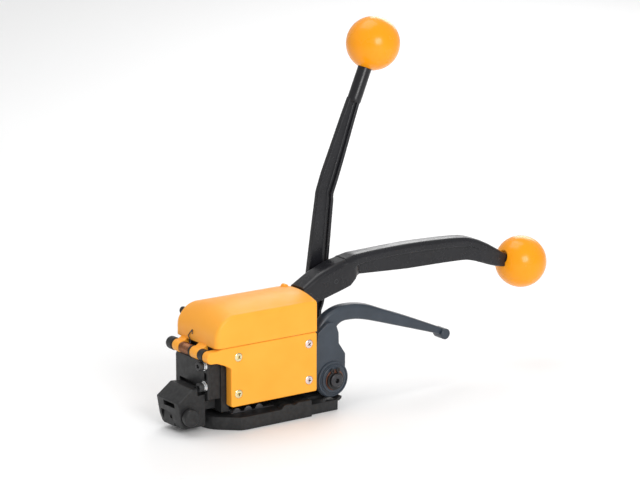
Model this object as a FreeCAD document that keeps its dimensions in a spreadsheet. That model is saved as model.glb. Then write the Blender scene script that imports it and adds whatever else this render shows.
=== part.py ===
"""Hand tool that tensions, seals and cuts 13 to 19 mm steel strap without separate seals.

Millimetres.  +X runs to the rear of the tool (towards the handle balls), -Y is the open side
where the strap slides in, +Z is up.  The origin is the middle of the base's underside.
"""
import FreeCAD, Part
import Sketcher
import math
import os

V = FreeCAD.Vector
doc = FreeCAD.newDocument("StrapTool")
sheet = doc.addObject("Spreadsheet::Sheet", "Dims")

# ------------------------------------------------------------------ driving dimensions
DIMENSIONS = [
    # base and frame
    ("base_front", -66), ("base_rear", 67), ("base_near", -38), ("base_far", 36),
    ("base_thick", 12), ("base_near_radius", 34), ("base_far_radius", 14),
    ("rail_rise", 3.5), ("rail_front", 2), ("rail_rear", 33), ("tail_near", -29),
    ("tail_thick", 9.5), ("tail_cut_far", -20), ("hook_reach", 4), ("hook_rise", 3),
    ("body_front", -56), ("body_rear", 42), ("body_near", -24), ("body_far", 33),
    ("channel_top", 21.5), ("seam_height", 77), ("far_wall", 9), ("near_wall", 6.5),
    ("front_wall", 8), ("rear_wall", 6), ("frame_toe", 16),
    ("lug_radius", 14), ("lug_far_near", 17.5), ("ledge_top", 28), ("ledge_rear_face", 14),
    # covers
    ("cover_thick", 9.5), ("cover_front", -51), ("cover_skin", 3.5),
    ("lid_front", -66), ("lid_near", -33), ("lid_far", 33), ("lid_top", 106.5),
    ("lid_wall", 2.5), ("lid_front_radius", 22), ("lid_edge_radius", 6), ("lid_seam_gap", 0.4),
    ("lid_notch_near", -14), ("lid_notch_far", 24), ("lid_tab_rise", 4), ("lid_tab_near", 10),
    ("lid_tab_wide", 10), ("lid_tab_long", 7), ("bumper_radius", 3.5), ("bumper_long", 6),
    ("hinge_x", -71), ("hinge_z", 70.3), ("knuckle_radius", 5.5), ("hinge_pin_radius", 3),
    ("hinge_cap_long", 7.5), ("hinge_cap_radius", 5.3), ("knuckle_gap", 0.4),
    ("frame_knuckle_near", -24), ("frame_knuckle_far", -16.5),
    ("lid_knuckle_near_end", -4), ("spring_far_end", 15.5), ("lid_knuckle_far_end", 25),
    ("cover_screw_front", -43), ("cover_screw_rear", 33.4), ("cover_screw_low", 33),
    ("cover_screw_high", 67), ("cover_screw_radius", 2), ("cover_screw_head", 4),
    ("cover_screw_long", 14), ("head_depth", 2.2),
    # front plate and strap guide
    ("plate_thick", 4), ("plate_front", -70), ("plate_near", -23.5), ("plate_far", 29),
    ("plate_low", 29), ("plate_high", 63.5), ("plate_slot_low", 37.8), ("plate_slot_high", 41.4),
    ("plate_slot_near", -1), ("plate_slot_far", 23), ("plate_screw_y", -19),
    ("plate_screw_low", 41.3), ("plate_screw_high", 59.3), ("plate_screw_radius", 2.5),
    ("plate_head_radius", 4.25), ("plate_head_long", 5), ("washer_radius", 5),
    ("washer_thick", 1.2), ("washer_count", 2),
    ("guide_front", -99), ("guide_near", -20), ("guide_far", 16), ("guide_low", 5),
    ("guide_high", 41), ("guide_lip", 30), ("guide_crest", -84), ("guide_slot_low", 24),
    ("guide_slot_high", 28.5), ("guide_slot_near", -13), ("guide_slot_far", 5),
    ("guide_slot_deep", 8), ("jaw_near", -6.5), ("jaw_far", 12), ("jaw_high", 18.5),
    ("jaw_thick", 5), ("knob_x", -88), ("knob_z", 16.5), ("knob_radius", 8),
    ("knob_thick", 7), ("knob_stem_radius", 3), ("knob_stem_long", 12), ("knob_gap", 0.5),
    # sealing train
    ("cam_x", -12), ("cam_z", 88), ("cam_shaft_radius", 9), ("cam_base_radius", 15),
    ("cam_lift", 7.5), ("cam_swing", 45), ("cam_near", -15.5), ("cam_wide", 6.5),
    ("cam_clear", 0.3), ("bush_wall", 2), ("fit_clear", 0.05), ("crank_half", 6.5),
    ("crank_hub_radius", 13), ("slide_front", -36), ("slide_rear", 12), ("slide_half", 15.5),
    ("slide_low", 34), ("shoe_thick", 4), ("slide_play", 0.5), ("ear_thick", 6),
    ("ear_reach", 8.5), ("punch_pitch", 12), ("punch_first", -32), ("punch_thick", 2.4),
    ("punch_count", 3), ("punch_low", 22.2), ("punch_half", 9.5), ("cutter_x", 4),
    ("cutter_thick", 4), ("die_first", -38), ("die_radius", 4.2), ("die_near", -22),
    ("die_far", 14), ("die_pad_rise", 0.6), ("slide_spring_radius", 3.6),
    ("handle_half", 11.5), ("channel_half", 7), ("grip_half", 8.5), ("ball_radius", 25),
    ("seal_ball_x", 305.6), ("seal_ball_z", 98.5), ("pin_radius", 2.2),
    ("crank_pin_one_x", 50), ("crank_pin_one_z", 105), ("crank_pin_two_x", 79),
    ("crank_pin_two_z", 114), ("handle_front", 43.6), ("handle_end_radius", 5.5),
    # tension train
    ("rock_x", 26), ("rock_z", 52), ("rock_pin_radius", 5), ("rock_boss_radius", 9.5),
    ("feed_x", 61.8), ("feed_z", 28.6), ("feed_shaft_radius", 6.5), ("cheek_thick", 5),
    ("cheek_gap", 0.5), ("boss_radius", 17.4), ("boss_step_radius", 12.5), ("boss_rise", 1.5),
    ("arm_near", -24), ("arm_wide", 12), ("tip_radius", 5.2), ("tip_x", 196), ("tip_z", 48.5),
    ("wheel_radius", 12.4), ("wheel_half", 10), ("tooth_count", 18), ("ratchet_near", 10.6),
    ("ratchet_wide", 6), ("ratchet_tip", 15), ("ratchet_root", 12.6), ("tooth_deep", 0.6),
    ("wheel_teeth", 30), ("lever_mid", 19.6), ("web_half", 2.8), ("flange_half", 7.4),
    ("grip_web_half", 3), ("grip_recess_front", 113), ("grip_recess_top", 127.6),
    ("grip_recess_rear", 245), ("hub_near", 17.2),
    ("hub_wide", 5), ("hub_radius", 14.5), ("tension_ball_x", 142.2),
    ("tension_ball_z", 324.2), ("lever_neck_radius", 6.5), ("clip_thick", 1.1),
    ("clip_radius", 8.6), ("shaft_bush_radius", 8.5), ("pawl_pin_radius", 2),
    ("pawl_gap", 0.4), ("grip_plate_front", 46), ("grip_plate_rear", 66),
    ("grip_plate_half", 9.8), ("grip_plate_rise", 3.2), ("bolt_radius", 3),
    ("bolt_head_radius", 5), ("bolt_head_deep", 6), ("bolt_long", 24), ("bolt_y", 28.5),
]


class Size:
    """A length that knows its value and the spreadsheet expression it comes from."""

    def __init__(self, value, text):
        self.value = float(value)
        self.text = text

    @staticmethod
    def of(item):
        return item if isinstance(item, Size) else Size(item, repr(float(item)))

    def __add__(self, other):
        other = Size.of(other)
        return Size(self.value + other.value, "(%s + %s)" % (self.text, other.text))

    def __sub__(self, other):
        other = Size.of(other)
        return Size(self.value - other.value, "(%s - %s)" % (self.text, other.text))

    def __mul__(self, other):
        other = Size.of(other)
        return Size(self.value * other.value, "(%s * %s)" % (self.text, other.text))

    def __truediv__(self, other):
        other = Size.of(other)
        return Size(self.value / other.value, "(%s / %s)" % (self.text, other.text))

    def __neg__(self):
        return Size(-self.value, "(0 - %s)" % self.text)

    __radd__ = __add__

    def __rsub__(self, other):
        return Size.of(other) - self


class Sizes:
    """Every driving dimension as an attribute."""


d = Sizes()
for row, (alias, value) in enumerate(DIMENSIONS, start=1):
    sheet.set("A%d" % row, alias.replace("_", " "))
    sheet.set("B%d" % row, str(value))
    sheet.setAlias("B%d" % row, alias)
    setattr(d, alias, Size(value, "Dims." + alias))
doc.recompute()

subparts = {}


# ------------------------------------------------------------------ building helpers
def bind(thing, prop, size):
    """Set a property from a Size and keep it bound to the sheet."""
    thing.setExpression(prop, Size.of(size).text)


def place(thing, x=0, y=0, z=0, turn=None):
    """Place an object at bound coordinates, turned by a fixed rotation."""
    thing.Placement = FreeCAD.Placement(V(), turn or FreeCAD.Rotation())
    for axis, size in zip("xyz", (x, y, z)):
        bind(thing, "Placement.Base." + axis, size)
    return thing


def block(name, xs, ys, zs):
    """Box between the low and high Size on each axis."""
    box = doc.addObject("Part::Box", name)
    place(box, xs[0], ys[0], zs[0])
    bind(box, "Length", Size.of(xs[1]) - xs[0])
    bind(box, "Width", Size.of(ys[1]) - ys[0])
    bind(box, "Height", Size.of(zs[1]) - zs[0])
    return box


TURNS = {
    "x": FreeCAD.Rotation(V(0, 1, 0), 90),
    "y": FreeCAD.Rotation(V(1, 0, 0), -90),
    "z": FreeCAD.Rotation(),
}


def rod(name, axis, start, centre, radius, length):
    """Cylinder along an axis from start; centre gives the two other coordinates in order."""
    cylinder = doc.addObject("Part::Cylinder", name)
    spot = {"x": (start,) + centre, "y": (centre[0], start, centre[1]), "z": centre + (start,)}
    place(cylinder, *spot[axis], turn=TURNS[axis])
    bind(cylinder, "Radius", radius)
    bind(cylinder, "Height", length)
    return cylinder


def cone(name, axis, start, centre, radius_one, radius_two, length):
    """Cone frustum along an axis from start."""
    frustum = doc.addObject("Part::Cone", name)
    spot = {"x": (start,) + centre, "y": (centre[0], start, centre[1]), "z": centre + (start,)}
    place(frustum, *spot[axis], turn=TURNS[axis])
    bind(frustum, "Radius1", radius_one)
    bind(frustum, "Radius2", radius_two)
    bind(frustum, "Height", length)
    return frustum


def ball(name, centre, radius):
    """Full sphere at a bound centre."""
    sphere = doc.addObject("Part::Sphere", name)
    place(sphere, *centre)
    bind(sphere, "Radius", radius)
    return sphere


def fuse(name, shapes):
    """Union of several objects."""
    union = doc.addObject("Part::MultiFuse", name)
    union.Shapes = shapes
    return union


def cut(name, base, tools):
    """Base with every tool taken away."""
    tool = tools[0] if len(tools) == 1 else fuse(name + "_tools", tools)
    result = doc.addObject("Part::Cut", name)
    result.Base = base
    result.Tool = tool
    return result


def group(name, shapes):
    """Separate solids kept together in one node."""
    compound = doc.addObject("Part::Compound", name)
    compound.Links = shapes
    return compound


def keep(name, thing):
    """Register an object as a sub-part; its label names its file."""
    thing.Label = name
    subparts[name] = thing
    return thing


def pin_point(sketch, geometry, corner, spot):
    """Hold a sketch point at bound distances from the sketch origin."""
    for kind, size in zip(("DistanceX", "DistanceY"), spot):
        size = Size.of(size)
        rule = Sketcher.Constraint(kind, -1, 1, geometry, corner, size.value)
        index = sketch.addConstraint(rule)
        sketch.setExpression("Constraints[%d]" % index, size.text)


def draw_outline(sketch, path):
    """Closed outline: each step is a corner, or (bow point, corner) for an arc into it."""
    corners = [step[-1] if isinstance(step[0], tuple) else step for step in path]
    flat = [V(Size.of(a).value, Size.of(b).value, 0) for a, b in corners]
    edges = []
    for index, step in enumerate(path):
        start = flat[index - 1]
        end = flat[index]
        if isinstance(step[0], tuple):
            bow = step[0]
            middle = V(Size.of(bow[0]).value, Size.of(bow[1]).value, 0)
            left_turn = (middle - start).cross(end - middle).z > 0
            edge = Part.Arc(start, middle, end) if left_turn else Part.Arc(end, middle, start)
            number = sketch.addGeometry(edge, False)
            point = sketch.addGeometry(Part.Point(middle), True)
            pin_point(sketch, point, 1, bow)
            sketch.addConstraint(Sketcher.Constraint("PointOnObject", point, 1, number))
            edges.append((number, 1, 2) if left_turn else (number, 2, 1))
        else:
            number = sketch.addGeometry(Part.LineSegment(start, end), False)
            edges.append((number, 1, 2))
    for index, (number, first, last) in enumerate(edges):
        follower = edges[(index + 1) % len(edges)]
        sketch.addConstraint(Sketcher.Constraint("Coincident", number, last, follower[0], follower[1]))
        pin_point(sketch, number, last, corners[index])


def new_sketch(body, name, plane):
    """Sketch on one of the body's own origin planes."""
    sketch = body.newObject("Sketcher::SketchObject", name)
    origin_plane = [item for item in body.Origin.OriginFeatures if item.Role == plane][0]
    sketch.AttachmentSupport = [(origin_plane, "")]
    sketch.MapMode = "FlatFace"
    return sketch


def plate(name, low, thickness, path, plane="XZ_Plane"):
    """Flat piece: an outline padded from low along the plane's normal axis."""
    body = doc.addObject("PartDesign::Body", name)
    sketch = new_sketch(body, name + "_outline", plane)
    draw_outline(sketch, path)
    pad = body.newObject("PartDesign::Pad", name + "_pad")
    pad.Profile = sketch
    pad.Reversed = plane == "XZ_Plane"
    bind(pad, "Length", thickness)
    bind(body, "Placement.Base.%s" % ("y" if plane == "XZ_Plane" else "z"), low)
    return body


def add_fillet(body, name, radius, names):
    """Fillet the named edges of the body's last feature."""
    last_feature = body.Tip
    fillet = body.newObject("PartDesign::Fillet", name)
    fillet.Base = (last_feature, names)
    bind(fillet, "Radius", radius)
    body.Tip = fillet
    return body


def round_edges(body, name, radius, spots):
    """Fillet the edges square to the outline that pass nearest to the given outline corners."""
    doc.recompute()
    tip = body.Tip
    names = []
    for spot in spots:
        target = (Size.of(spot[0]).value, Size.of(spot[1]).value)
        best = None
        for index, edge in enumerate(tip.Shape.Edges, start=1):
            first = edge.Vertexes[0].Point
            last = edge.Vertexes[-1].Point
            along_y = abs(first.x - last.x) < 1e-6 and abs(first.z - last.z) < 1e-6
            along_z = abs(first.x - last.x) < 1e-6 and abs(first.y - last.y) < 1e-6
            if not (along_y or along_z) or (first - last).Length < 1e-6:
                continue
            flat = (first.x, first.z) if along_y else (first.x, first.y)
            gap = math.hypot(flat[0] - target[0], flat[1] - target[1])
            if best is None or gap < best[0]:
                best = (gap, "Edge%d" % index)
        names.append(best[1])
    return add_fillet(body, name, radius, names)


def face_down(name, spot, start, head_radius, head_depth, radius, length):
    """Countersunk screw whose head is flush with the near face at start, pointing to +Y."""
    head = cone(name + "_head", "y", start, spot, head_radius, radius, head_depth)
    shank = rod(name + "_shank", "y", start, spot, radius, length)
    return fuse(name, [head, shank])


# ------------------------------------------------------------------ base
plan = plate("base_plan", 0, d.base_thick, [
    (d.base_front, d.base_near), (d.base_rear, d.base_near),
    (d.base_rear, d.base_far), (d.base_front, d.base_far)], "XY_Plane")
round_edges(plan, "base_near_corner", d.base_near_radius, [(d.base_front, d.base_near)])
round_edges(plan, "base_far_corner", d.base_far_radius, [(d.base_front, d.base_far)])
rail = plate("base_rail", d.base_near, d.body_near - d.base_near + 8, [
    (d.rail_front, d.base_thick - 1), (d.rail_front, d.base_thick),
    (d.rail_front + d.rail_rise, d.base_thick + d.rail_rise),
    (d.rail_rear, d.base_thick + d.rail_rise), (d.rail_rear, d.base_thick - 1)])
hook_low = d.base_rear - 0.5
hook = plate("base_hook", d.tail_near, d.base_far - d.tail_near, [
    (hook_low, d.tail_thick - 1), (hook_low, d.tail_thick),
    (hook_low + d.hook_reach, d.tail_thick + d.hook_rise),
    (hook_low + d.hook_reach + 2.5, d.tail_thick + d.hook_rise - 2),
    (d.base_rear, d.tail_thick - 3)])
tail_side = block("tail_side_cut", (d.rail_rear, d.base_rear + 10), (d.base_near - 2, d.tail_near),
                  (Size.of(-1), d.base_thick + 10))
tail_top = block("tail_top_cut", (d.rail_rear, d.base_rear + 10), (d.base_near - 2, d.tail_cut_far),
                 (d.tail_thick, d.base_thick + 10))
tail_back = block("tail_back_cut", (d.grip_plate_rear, d.base_rear + 10),
                  (d.tail_cut_far, d.base_far + 1), (d.tail_thick, d.base_thick + 10))
tail_far = block("tail_far_cut", (d.feed_x - d.boss_radius, d.base_rear + 10),
                 (d.grip_plate_half + 15, d.base_far + 1), (d.tail_thick, d.base_thick + 10))
grip_seat = block("grip_seat", (d.grip_plate_front, d.grip_plate_rear),
                  (-d.grip_plate_half, d.grip_plate_half), (d.base_thick - 2, d.base_thick + 10))
bolt_spots = [d.body_front + 12, d.cam_x, d.rail_rear - 1]
bolt_holes = []
for index, spot in enumerate(bolt_spots):
    bolt_holes.append(rod("bolt_hole_%d" % index, "z", Size.of(-1), (spot, d.bolt_y),
                          d.bolt_radius, d.base_thick + 2))
    bolt_holes.append(rod("bolt_sink_%d" % index, "z", Size.of(-1), (spot, d.bolt_y),
                          d.bolt_head_radius, d.bolt_head_deep + 2))
plain_base = cut("base_body", fuse("base_block", [plan, rail]),
                 [tail_side, tail_top, tail_back, tail_far, grip_seat] + bolt_holes)
keep("base_plate", fuse("base_all", [plain_base, hook]))

grip_screw_x = [d.grip_plate_front + 4, d.grip_plate_rear - 4]
grip_body = block("grip_body", (d.grip_plate_front, d.grip_plate_rear),
                  (-d.grip_plate_half, d.grip_plate_half),
                  (d.base_thick - 2, d.base_thick + d.grip_plate_rise))
grip_top = d.base_thick + d.grip_plate_rise
grip_holes = []
grip_screws = []
for index, spot in enumerate(grip_screw_x):
    grip_holes.append(rod("grip_hole_%d" % index, "z", grip_top - 2.4,
                          (spot, d.grip_plate_half - 3.5), Size.of(2.4), Size.of(3)))
    grip_screws.append(rod("grip_screw_%d" % index, "z", grip_top - 2.4,
                           (spot, d.grip_plate_half - 3.5), Size.of(2.4), Size.of(2)))
keep("gripper_plate", cut("grip_cut", grip_body, grip_holes))
keep("gripper_screws", group("grip_screw_set", grip_screws))

die_gap = d.punch_pitch
die_pad = block("die_pad", (d.die_first - d.die_radius - 2, d.die_first + d.punch_pitch * 3 + 4),
                (d.die_near, d.die_far), (d.base_thick, d.base_thick + d.die_pad_rise))
die_bars = [die_pad]
for index in range(3):
    centre = d.die_first + d.punch_pitch * index
    bar = rod("die_bar_%d" % index, "y", d.die_near, (centre, d.base_thick), d.die_radius,
              d.die_far - d.die_near)
    upper = block("die_upper_%d" % index, (centre - 6, centre + 6), (d.die_near - 1, d.die_far + 1),
                  (d.base_thick, d.base_thick + 6))
    half = doc.addObject("Part::MultiCommon", "die_half_%d" % index)
    half.Shapes = [bar, upper]
    die_bars.append(half)
keep("lower_dies", fuse("die_all", die_bars))

# ------------------------------------------------------------------ frame
far_inner = d.body_far - d.far_wall
near_inner = d.body_near + d.near_wall
far_wall = block("frame_far", (d.body_front, d.body_rear), (far_inner, d.body_far),
                 (d.base_thick, d.seam_height))
front_wall = block("frame_front", (d.body_front, d.body_front + d.front_wall),
                   (d.body_near, far_inner), (d.frame_toe, d.seam_height))
boss_front = block("frame_boss", (d.plate_front + d.plate_thick, d.body_front),
                   (d.plate_near + 1, d.plate_far - 1), (d.plate_low, d.plate_high))
rear_wall_low = block("frame_rear_low", (d.body_rear - d.rear_wall, d.body_rear),
                      (d.body_near, far_inner), (d.channel_top, d.ledge_top))
near_panel = block("frame_near", (d.body_front, d.body_rear - d.rear_wall + 3),
                   (d.body_near, near_inner), (Size.of(42), d.seam_height))
front_ledge = block("front_ledge", (d.body_front, d.slide_front - d.slide_play),
                    (d.body_near, far_inner), (d.channel_top, d.ledge_top))
rear_ledge = block("rear_ledge", (d.ledge_rear_face, d.body_rear), (d.body_near, far_inner),
                   (d.channel_top, d.ledge_top))
corner_post = rod("corner_post", "y", d.body_near, (d.cover_screw_rear, d.cover_screw_low),
                  Size.of(4.5), d.near_wall)
corner_foot = block("corner_foot", (d.cover_screw_rear - 4.5, d.cover_screw_rear + 4.5),
                    (d.body_near, near_inner), (d.channel_top, d.cover_screw_low))
far_lug_wall = block("far_lug_wall", (d.cam_x - d.lug_radius, d.cam_x + d.lug_radius),
                     (d.lug_far_near, far_inner), (d.ledge_top, d.cam_z))
far_lug = rod("far_lug", "y", d.lug_far_near, (d.cam_x, d.cam_z), d.lug_radius,
              far_inner - d.lug_far_near)
near_lug_wall = block("near_lug_wall", (d.cam_x - d.lug_radius, d.cam_x + d.lug_radius),
                      (d.body_near, near_inner), (d.seam_height - 5, d.cam_z))
near_lug = rod("near_lug", "y", d.body_near, (d.cam_x, d.cam_z), d.lug_radius, d.near_wall)
knuckle_arms = []
for index, (low, high) in enumerate([(d.frame_knuckle_near, d.frame_knuckle_far),
                                     (d.lid_knuckle_far_end + d.knuckle_gap, d.body_far)]):
    knuckle_arms.append(rod("frame_knuckle_%d" % index, "y", low, (d.hinge_x, d.hinge_z),
                            d.knuckle_radius, high - low))
    knuckle_arms.append(block("frame_knuckle_web_%d" % index, (d.hinge_x, d.body_front), (low, high),
                              (d.hinge_z - d.knuckle_radius, d.hinge_z + 1)))
frame_solid = fuse("frame_solid", [far_wall, front_wall, boss_front, rear_wall_low, near_panel,
                                   front_ledge, rear_ledge, corner_post, corner_foot,
                                   far_lug_wall, far_lug, near_lug_wall, near_lug] + knuckle_arms)
cheek_high = Size.of(12)
far_pocket = block("far_pocket", (d.rock_x - 12, d.body_rear + 1),
                   (d.body_far - d.cheek_thick - 1, d.body_far + 1),
                   (d.rock_z - cheek_high, d.rock_z + cheek_high))
shaft_bore = rod("cam_bore", "y", d.body_near - 1, (d.cam_x, d.cam_z),
                 d.cam_shaft_radius + d.fit_clear + d.bush_wall, d.body_far - d.body_near - 6)
pivot_bore = rod("pivot_bore", "y", d.body_near - 1, (d.rock_x, d.rock_z), d.rock_pin_radius,
                 d.body_far - d.body_near + 2)
hinge_bore = rod("hinge_bore", "y", d.body_near - 1, (d.hinge_x, d.hinge_z), d.hinge_pin_radius,
                 d.body_far - d.body_near + 2)
spring_window = block("spring_window", (d.body_front - 8, d.body_front - 1),
                      (d.lid_knuckle_near_end, d.spring_far_end), (d.plate_high - 3, d.plate_high + 5))
frame_cuts = [far_pocket, shaft_bore, pivot_bore, hinge_bore, spring_window]
for index, spot in enumerate(bolt_spots):
    frame_cuts.append(rod("frame_bolt_hole_%d" % index, "z", d.base_thick - 1, (spot, d.bolt_y),
                          d.bolt_radius, d.bolt_long - d.bolt_head_deep + 4))
screw_spots = [(x, z) for x in (d.cover_screw_front, d.cover_screw_rear)
               for z in (d.cover_screw_low, d.cover_screw_high)]
for index, spot in enumerate(screw_spots):
    frame_cuts.append(rod("frame_screw_hole_%d" % index, "y", d.body_near - 1, spot,
                          d.cover_screw_radius, d.cover_screw_long - d.cover_thick + 2))
plate_screw_spots = [(d.plate_screw_y, d.plate_screw_low), (d.plate_screw_y, d.plate_screw_high)]
for index, spot in enumerate(plate_screw_spots):
    frame_cuts.append(rod("frame_plate_hole_%d" % index, "x", d.plate_front - 1, spot,
                          d.plate_screw_radius, Size.of(13)))
keep("frame", cut("frame_cut", frame_solid, frame_cuts))

bolts = []
for index, spot in enumerate(bolt_spots):
    head = rod("bolt_head_%d" % index, "z", Size.of(1), (spot, d.bolt_y), d.bolt_head_radius - 0.3,
               d.bolt_head_deep)
    socket = rod("bolt_socket_%d" % index, "z", Size.of(0), (spot, d.bolt_y), Size.of(2.5),
                 Size.of(4))
    shank = rod("bolt_shank_%d" % index, "z", Size.of(4), (spot, d.bolt_y), d.bolt_radius,
                d.bolt_long)
    bolts.append(cut("bolt_%d" % index, fuse("bolt_all_%d" % index, [head, shank]), [socket]))
keep("frame_bolts", group("bolt_set", bolts))

# ------------------------------------------------------------------ side cover and its screws
cover_low = d.body_near - d.cover_thick
nose_low = d.hinge_z - d.knuckle_radius
cover = plate("cover_plate", cover_low, d.cover_thick, [
    (d.cover_front, d.channel_top), (d.body_rear, d.channel_top),
    (d.body_rear, d.seam_height), (d.hinge_x, d.seam_height),
    ((d.hinge_x - d.knuckle_radius - 0.8, d.hinge_z), (d.hinge_x, nose_low)),
    (d.hinge_x + 5, nose_low - 2), (d.cover_front, Size.of(54))])
round_edges(cover, "cover_corners", 3.0, [(d.cover_front, d.channel_top),
                                          (d.body_rear, d.channel_top),
                                          (d.body_rear, d.seam_height)])
cheek_pocket = block("cheek_pocket", (d.rock_x - 12, d.body_rear + 1),
                     (cover_low + d.cover_skin, d.body_near + 1),
                     (d.rock_z - cheek_high, d.rock_z + cheek_high))
cover_cuts = [cheek_pocket,
              rod("cover_pin_bore", "y", d.body_near - 6, (d.hinge_x, d.hinge_z),
                  d.hinge_pin_radius, Size.of(8))]
cover_screws = []
for index, spot in enumerate(screw_spots):
    cover_cuts.append(face_down("cover_sink_%d" % index, spot, cover_low, d.cover_screw_head,
                                d.head_depth, d.cover_screw_radius, d.cover_screw_long))
    screw = face_down("cover_screw_%d" % index, spot, cover_low, d.cover_screw_head,
                      d.head_depth, d.cover_screw_radius, d.cover_screw_long)
    slots = [block("cross_a_%d" % index, (spot[0] - 2, spot[0] + 2), (cover_low - 1, cover_low + 1.2),
                   (spot[1] - 0.45, spot[1] + 0.45)),
             block("cross_b_%d" % index, (spot[0] - 0.45, spot[0] + 0.45),
                   (cover_low - 1, cover_low + 1.2), (spot[1] - 2, spot[1] + 2))]
    cover_screws.append(cut("cover_screw_cut_%d" % index, screw, slots))
keep("side_cover", cut("cover_cut", cover, cover_cuts))
keep("side_cover_screws", group("cover_screw_set", cover_screws))

# ------------------------------------------------------------------ hinged top cover
lid_low = d.seam_height + d.lid_seam_gap
lid_body = plate("lid_block", d.lid_near, d.lid_far - d.lid_near, [
    (d.lid_front, lid_low), (d.body_rear, lid_low), (d.body_rear, d.lid_top),
    (d.lid_front, d.lid_top)])
round_edges(lid_body, "lid_front_edge", d.lid_front_radius, [(d.lid_front, d.lid_top)])
doc.recompute()
side_edges = []
for index, edge in enumerate(lid_body.Tip.Shape.Edges, start=1):
    middle = edge.valueAt((edge.FirstParameter + edge.LastParameter) / 2)
    flat = abs(edge.Vertexes[0].Point.y - edge.Vertexes[-1].Point.y) < 1e-6
    if flat and middle.z > lid_low.value + 1 and middle.x < d.body_rear.value - 1:
        side_edges.append("Edge%d" % index)
add_fillet(lid_body, "lid_side_edges", d.lid_edge_radius, side_edges)
lid_void = plate("lid_void", d.lid_near + d.lid_wall, d.lid_far - d.lid_near - d.lid_wall * 2, [
    (d.lid_front + d.lid_wall, lid_low - 1), (d.body_rear - d.lid_wall, lid_low - 1),
    (d.body_rear - d.lid_wall, d.lid_top - d.lid_wall),
    (d.lid_front + d.lid_wall, d.lid_top - d.lid_wall)])
round_edges(lid_void, "lid_void_edge", d.lid_front_radius - d.lid_wall,
            [(d.lid_front + d.lid_wall, d.lid_top - d.lid_wall)])
notch = block("lid_notch", (d.body_rear - d.lid_wall - 1, d.body_rear + 1),
              (d.lid_notch_near, d.lid_notch_far), (lid_low - 1, d.lid_top - d.lid_wall))
lid_shell = cut("lid_shell", lid_body, [lid_void, notch])
tab = block("lid_tab", (d.body_rear - d.lid_tab_long, d.body_rear),
            (d.lid_tab_near, d.lid_tab_near + d.lid_tab_wide),
            (d.lid_top - 1, d.lid_top + d.lid_tab_rise))
lid_pieces = [lid_shell, tab]
lid_knuckles = [(d.frame_knuckle_far + d.knuckle_gap, d.lid_knuckle_near_end),
                (d.spring_far_end, d.lid_knuckle_far_end)]
for index, (low, high) in enumerate(lid_knuckles):
    lid_pieces.append(rod("lid_knuckle_%d" % index, "y", low, (d.hinge_x, d.hinge_z),
                          d.knuckle_radius, high - low))
    lid_pieces.append(block("lid_knuckle_web_%d" % index, (d.hinge_x - 1.5, d.lid_front + 2),
                            (low, high), (d.hinge_z + 2, lid_low + 4)))
lid_bore = rod("lid_bore", "y", d.lid_near, (d.hinge_x, d.hinge_z),
               d.hinge_pin_radius + d.fit_clear, d.lid_far - d.lid_near)
keep("top_cover", cut("lid_cut", fuse("lid_all", lid_pieces), [lid_bore]))
keep("cover_bumper", rod("cover_bumper_rod", "y", d.lid_far, (d.lid_front + 10, Size.of(97)),
                         d.bumper_radius, d.bumper_long))

pin_near = d.body_near - 5
hinge_rod = rod("hinge_rod", "y", pin_near, (d.hinge_x, d.hinge_z), d.hinge_pin_radius,
                d.body_far - pin_near)
hinge_head = rod("hinge_head", "y", d.body_far, (d.hinge_x, d.hinge_z), d.hinge_cap_radius,
                 d.hinge_cap_long)
keep("hinge_pin", fuse("hinge_pin_all", [hinge_rod, hinge_head]))
coil = rod("cover_coil", "y", d.lid_knuckle_near_end + 0.5, (d.hinge_x, d.hinge_z),
           d.knuckle_radius - 0.3, d.spring_far_end - d.lid_knuckle_near_end - 1)
coil_hole = rod("cover_coil_hole", "y", d.lid_knuckle_near_end, (d.hinge_x, d.hinge_z),
                d.hinge_pin_radius + 0.6, d.spring_far_end - d.lid_knuckle_near_end)
keep("cover_spring", cut("cover_spring_cut", coil, [coil_hole]))

# ------------------------------------------------------------------ front plate and strap guide
front_block = block("front_block", (d.plate_front, d.plate_front + d.plate_thick),
                    (d.plate_near, d.plate_far), (d.plate_low, d.plate_high))
front_slot = block("front_slot", (d.plate_front - 1, d.plate_front + 2.5),
                   (d.plate_slot_near, d.plate_slot_far), (d.plate_slot_low, d.plate_slot_high))
plate_holes = [rod("plate_hole_%d" % index, "x", d.plate_front - 1, spot,
                   d.plate_screw_radius, d.plate_thick + 2)
               for index, spot in enumerate(plate_screw_spots)]
keep("front_plate", cut("front_plate_cut", front_block, [front_slot] + plate_holes))
washers = []
plate_screws = []
stack = d.washer_thick * d.washer_count
for index, spot in enumerate(plate_screw_spots):
    for layer in range(2):
        disc = rod("washer_%d_%d" % (index, layer), "x",
                   d.plate_front - d.washer_thick * (layer + 1), spot,
                   d.washer_radius - layer * 0.9, d.washer_thick)
        hole = rod("washer_hole_%d_%d" % (index, layer), "x",
                   d.plate_front - stack - 1, spot, d.plate_screw_radius, stack + 2)
        washers.append(cut("washer_cut_%d_%d" % (index, layer), disc, [hole]))
    head = rod("plate_screw_head_%d" % index, "x", d.plate_front - stack - d.plate_head_long,
               spot, d.plate_head_radius, d.plate_head_long)
    shank = rod("plate_screw_shank_%d" % index, "x", d.plate_front - stack - 1, spot,
                d.plate_screw_radius, d.plate_thick + stack + 9)
    socket = rod("plate_screw_socket_%d" % index, "x",
                 d.plate_front - stack - d.plate_head_long - 1, spot, Size.of(2), Size.of(3.5))
    plate_screws.append(cut("plate_screw_%d" % index,
                            fuse("plate_screw_all_%d" % index, [head, shank]), [socket]))
keep("front_plate_washers", group("washer_set", washers))
keep("front_plate_screws", group("plate_screw_set", plate_screws))

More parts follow.
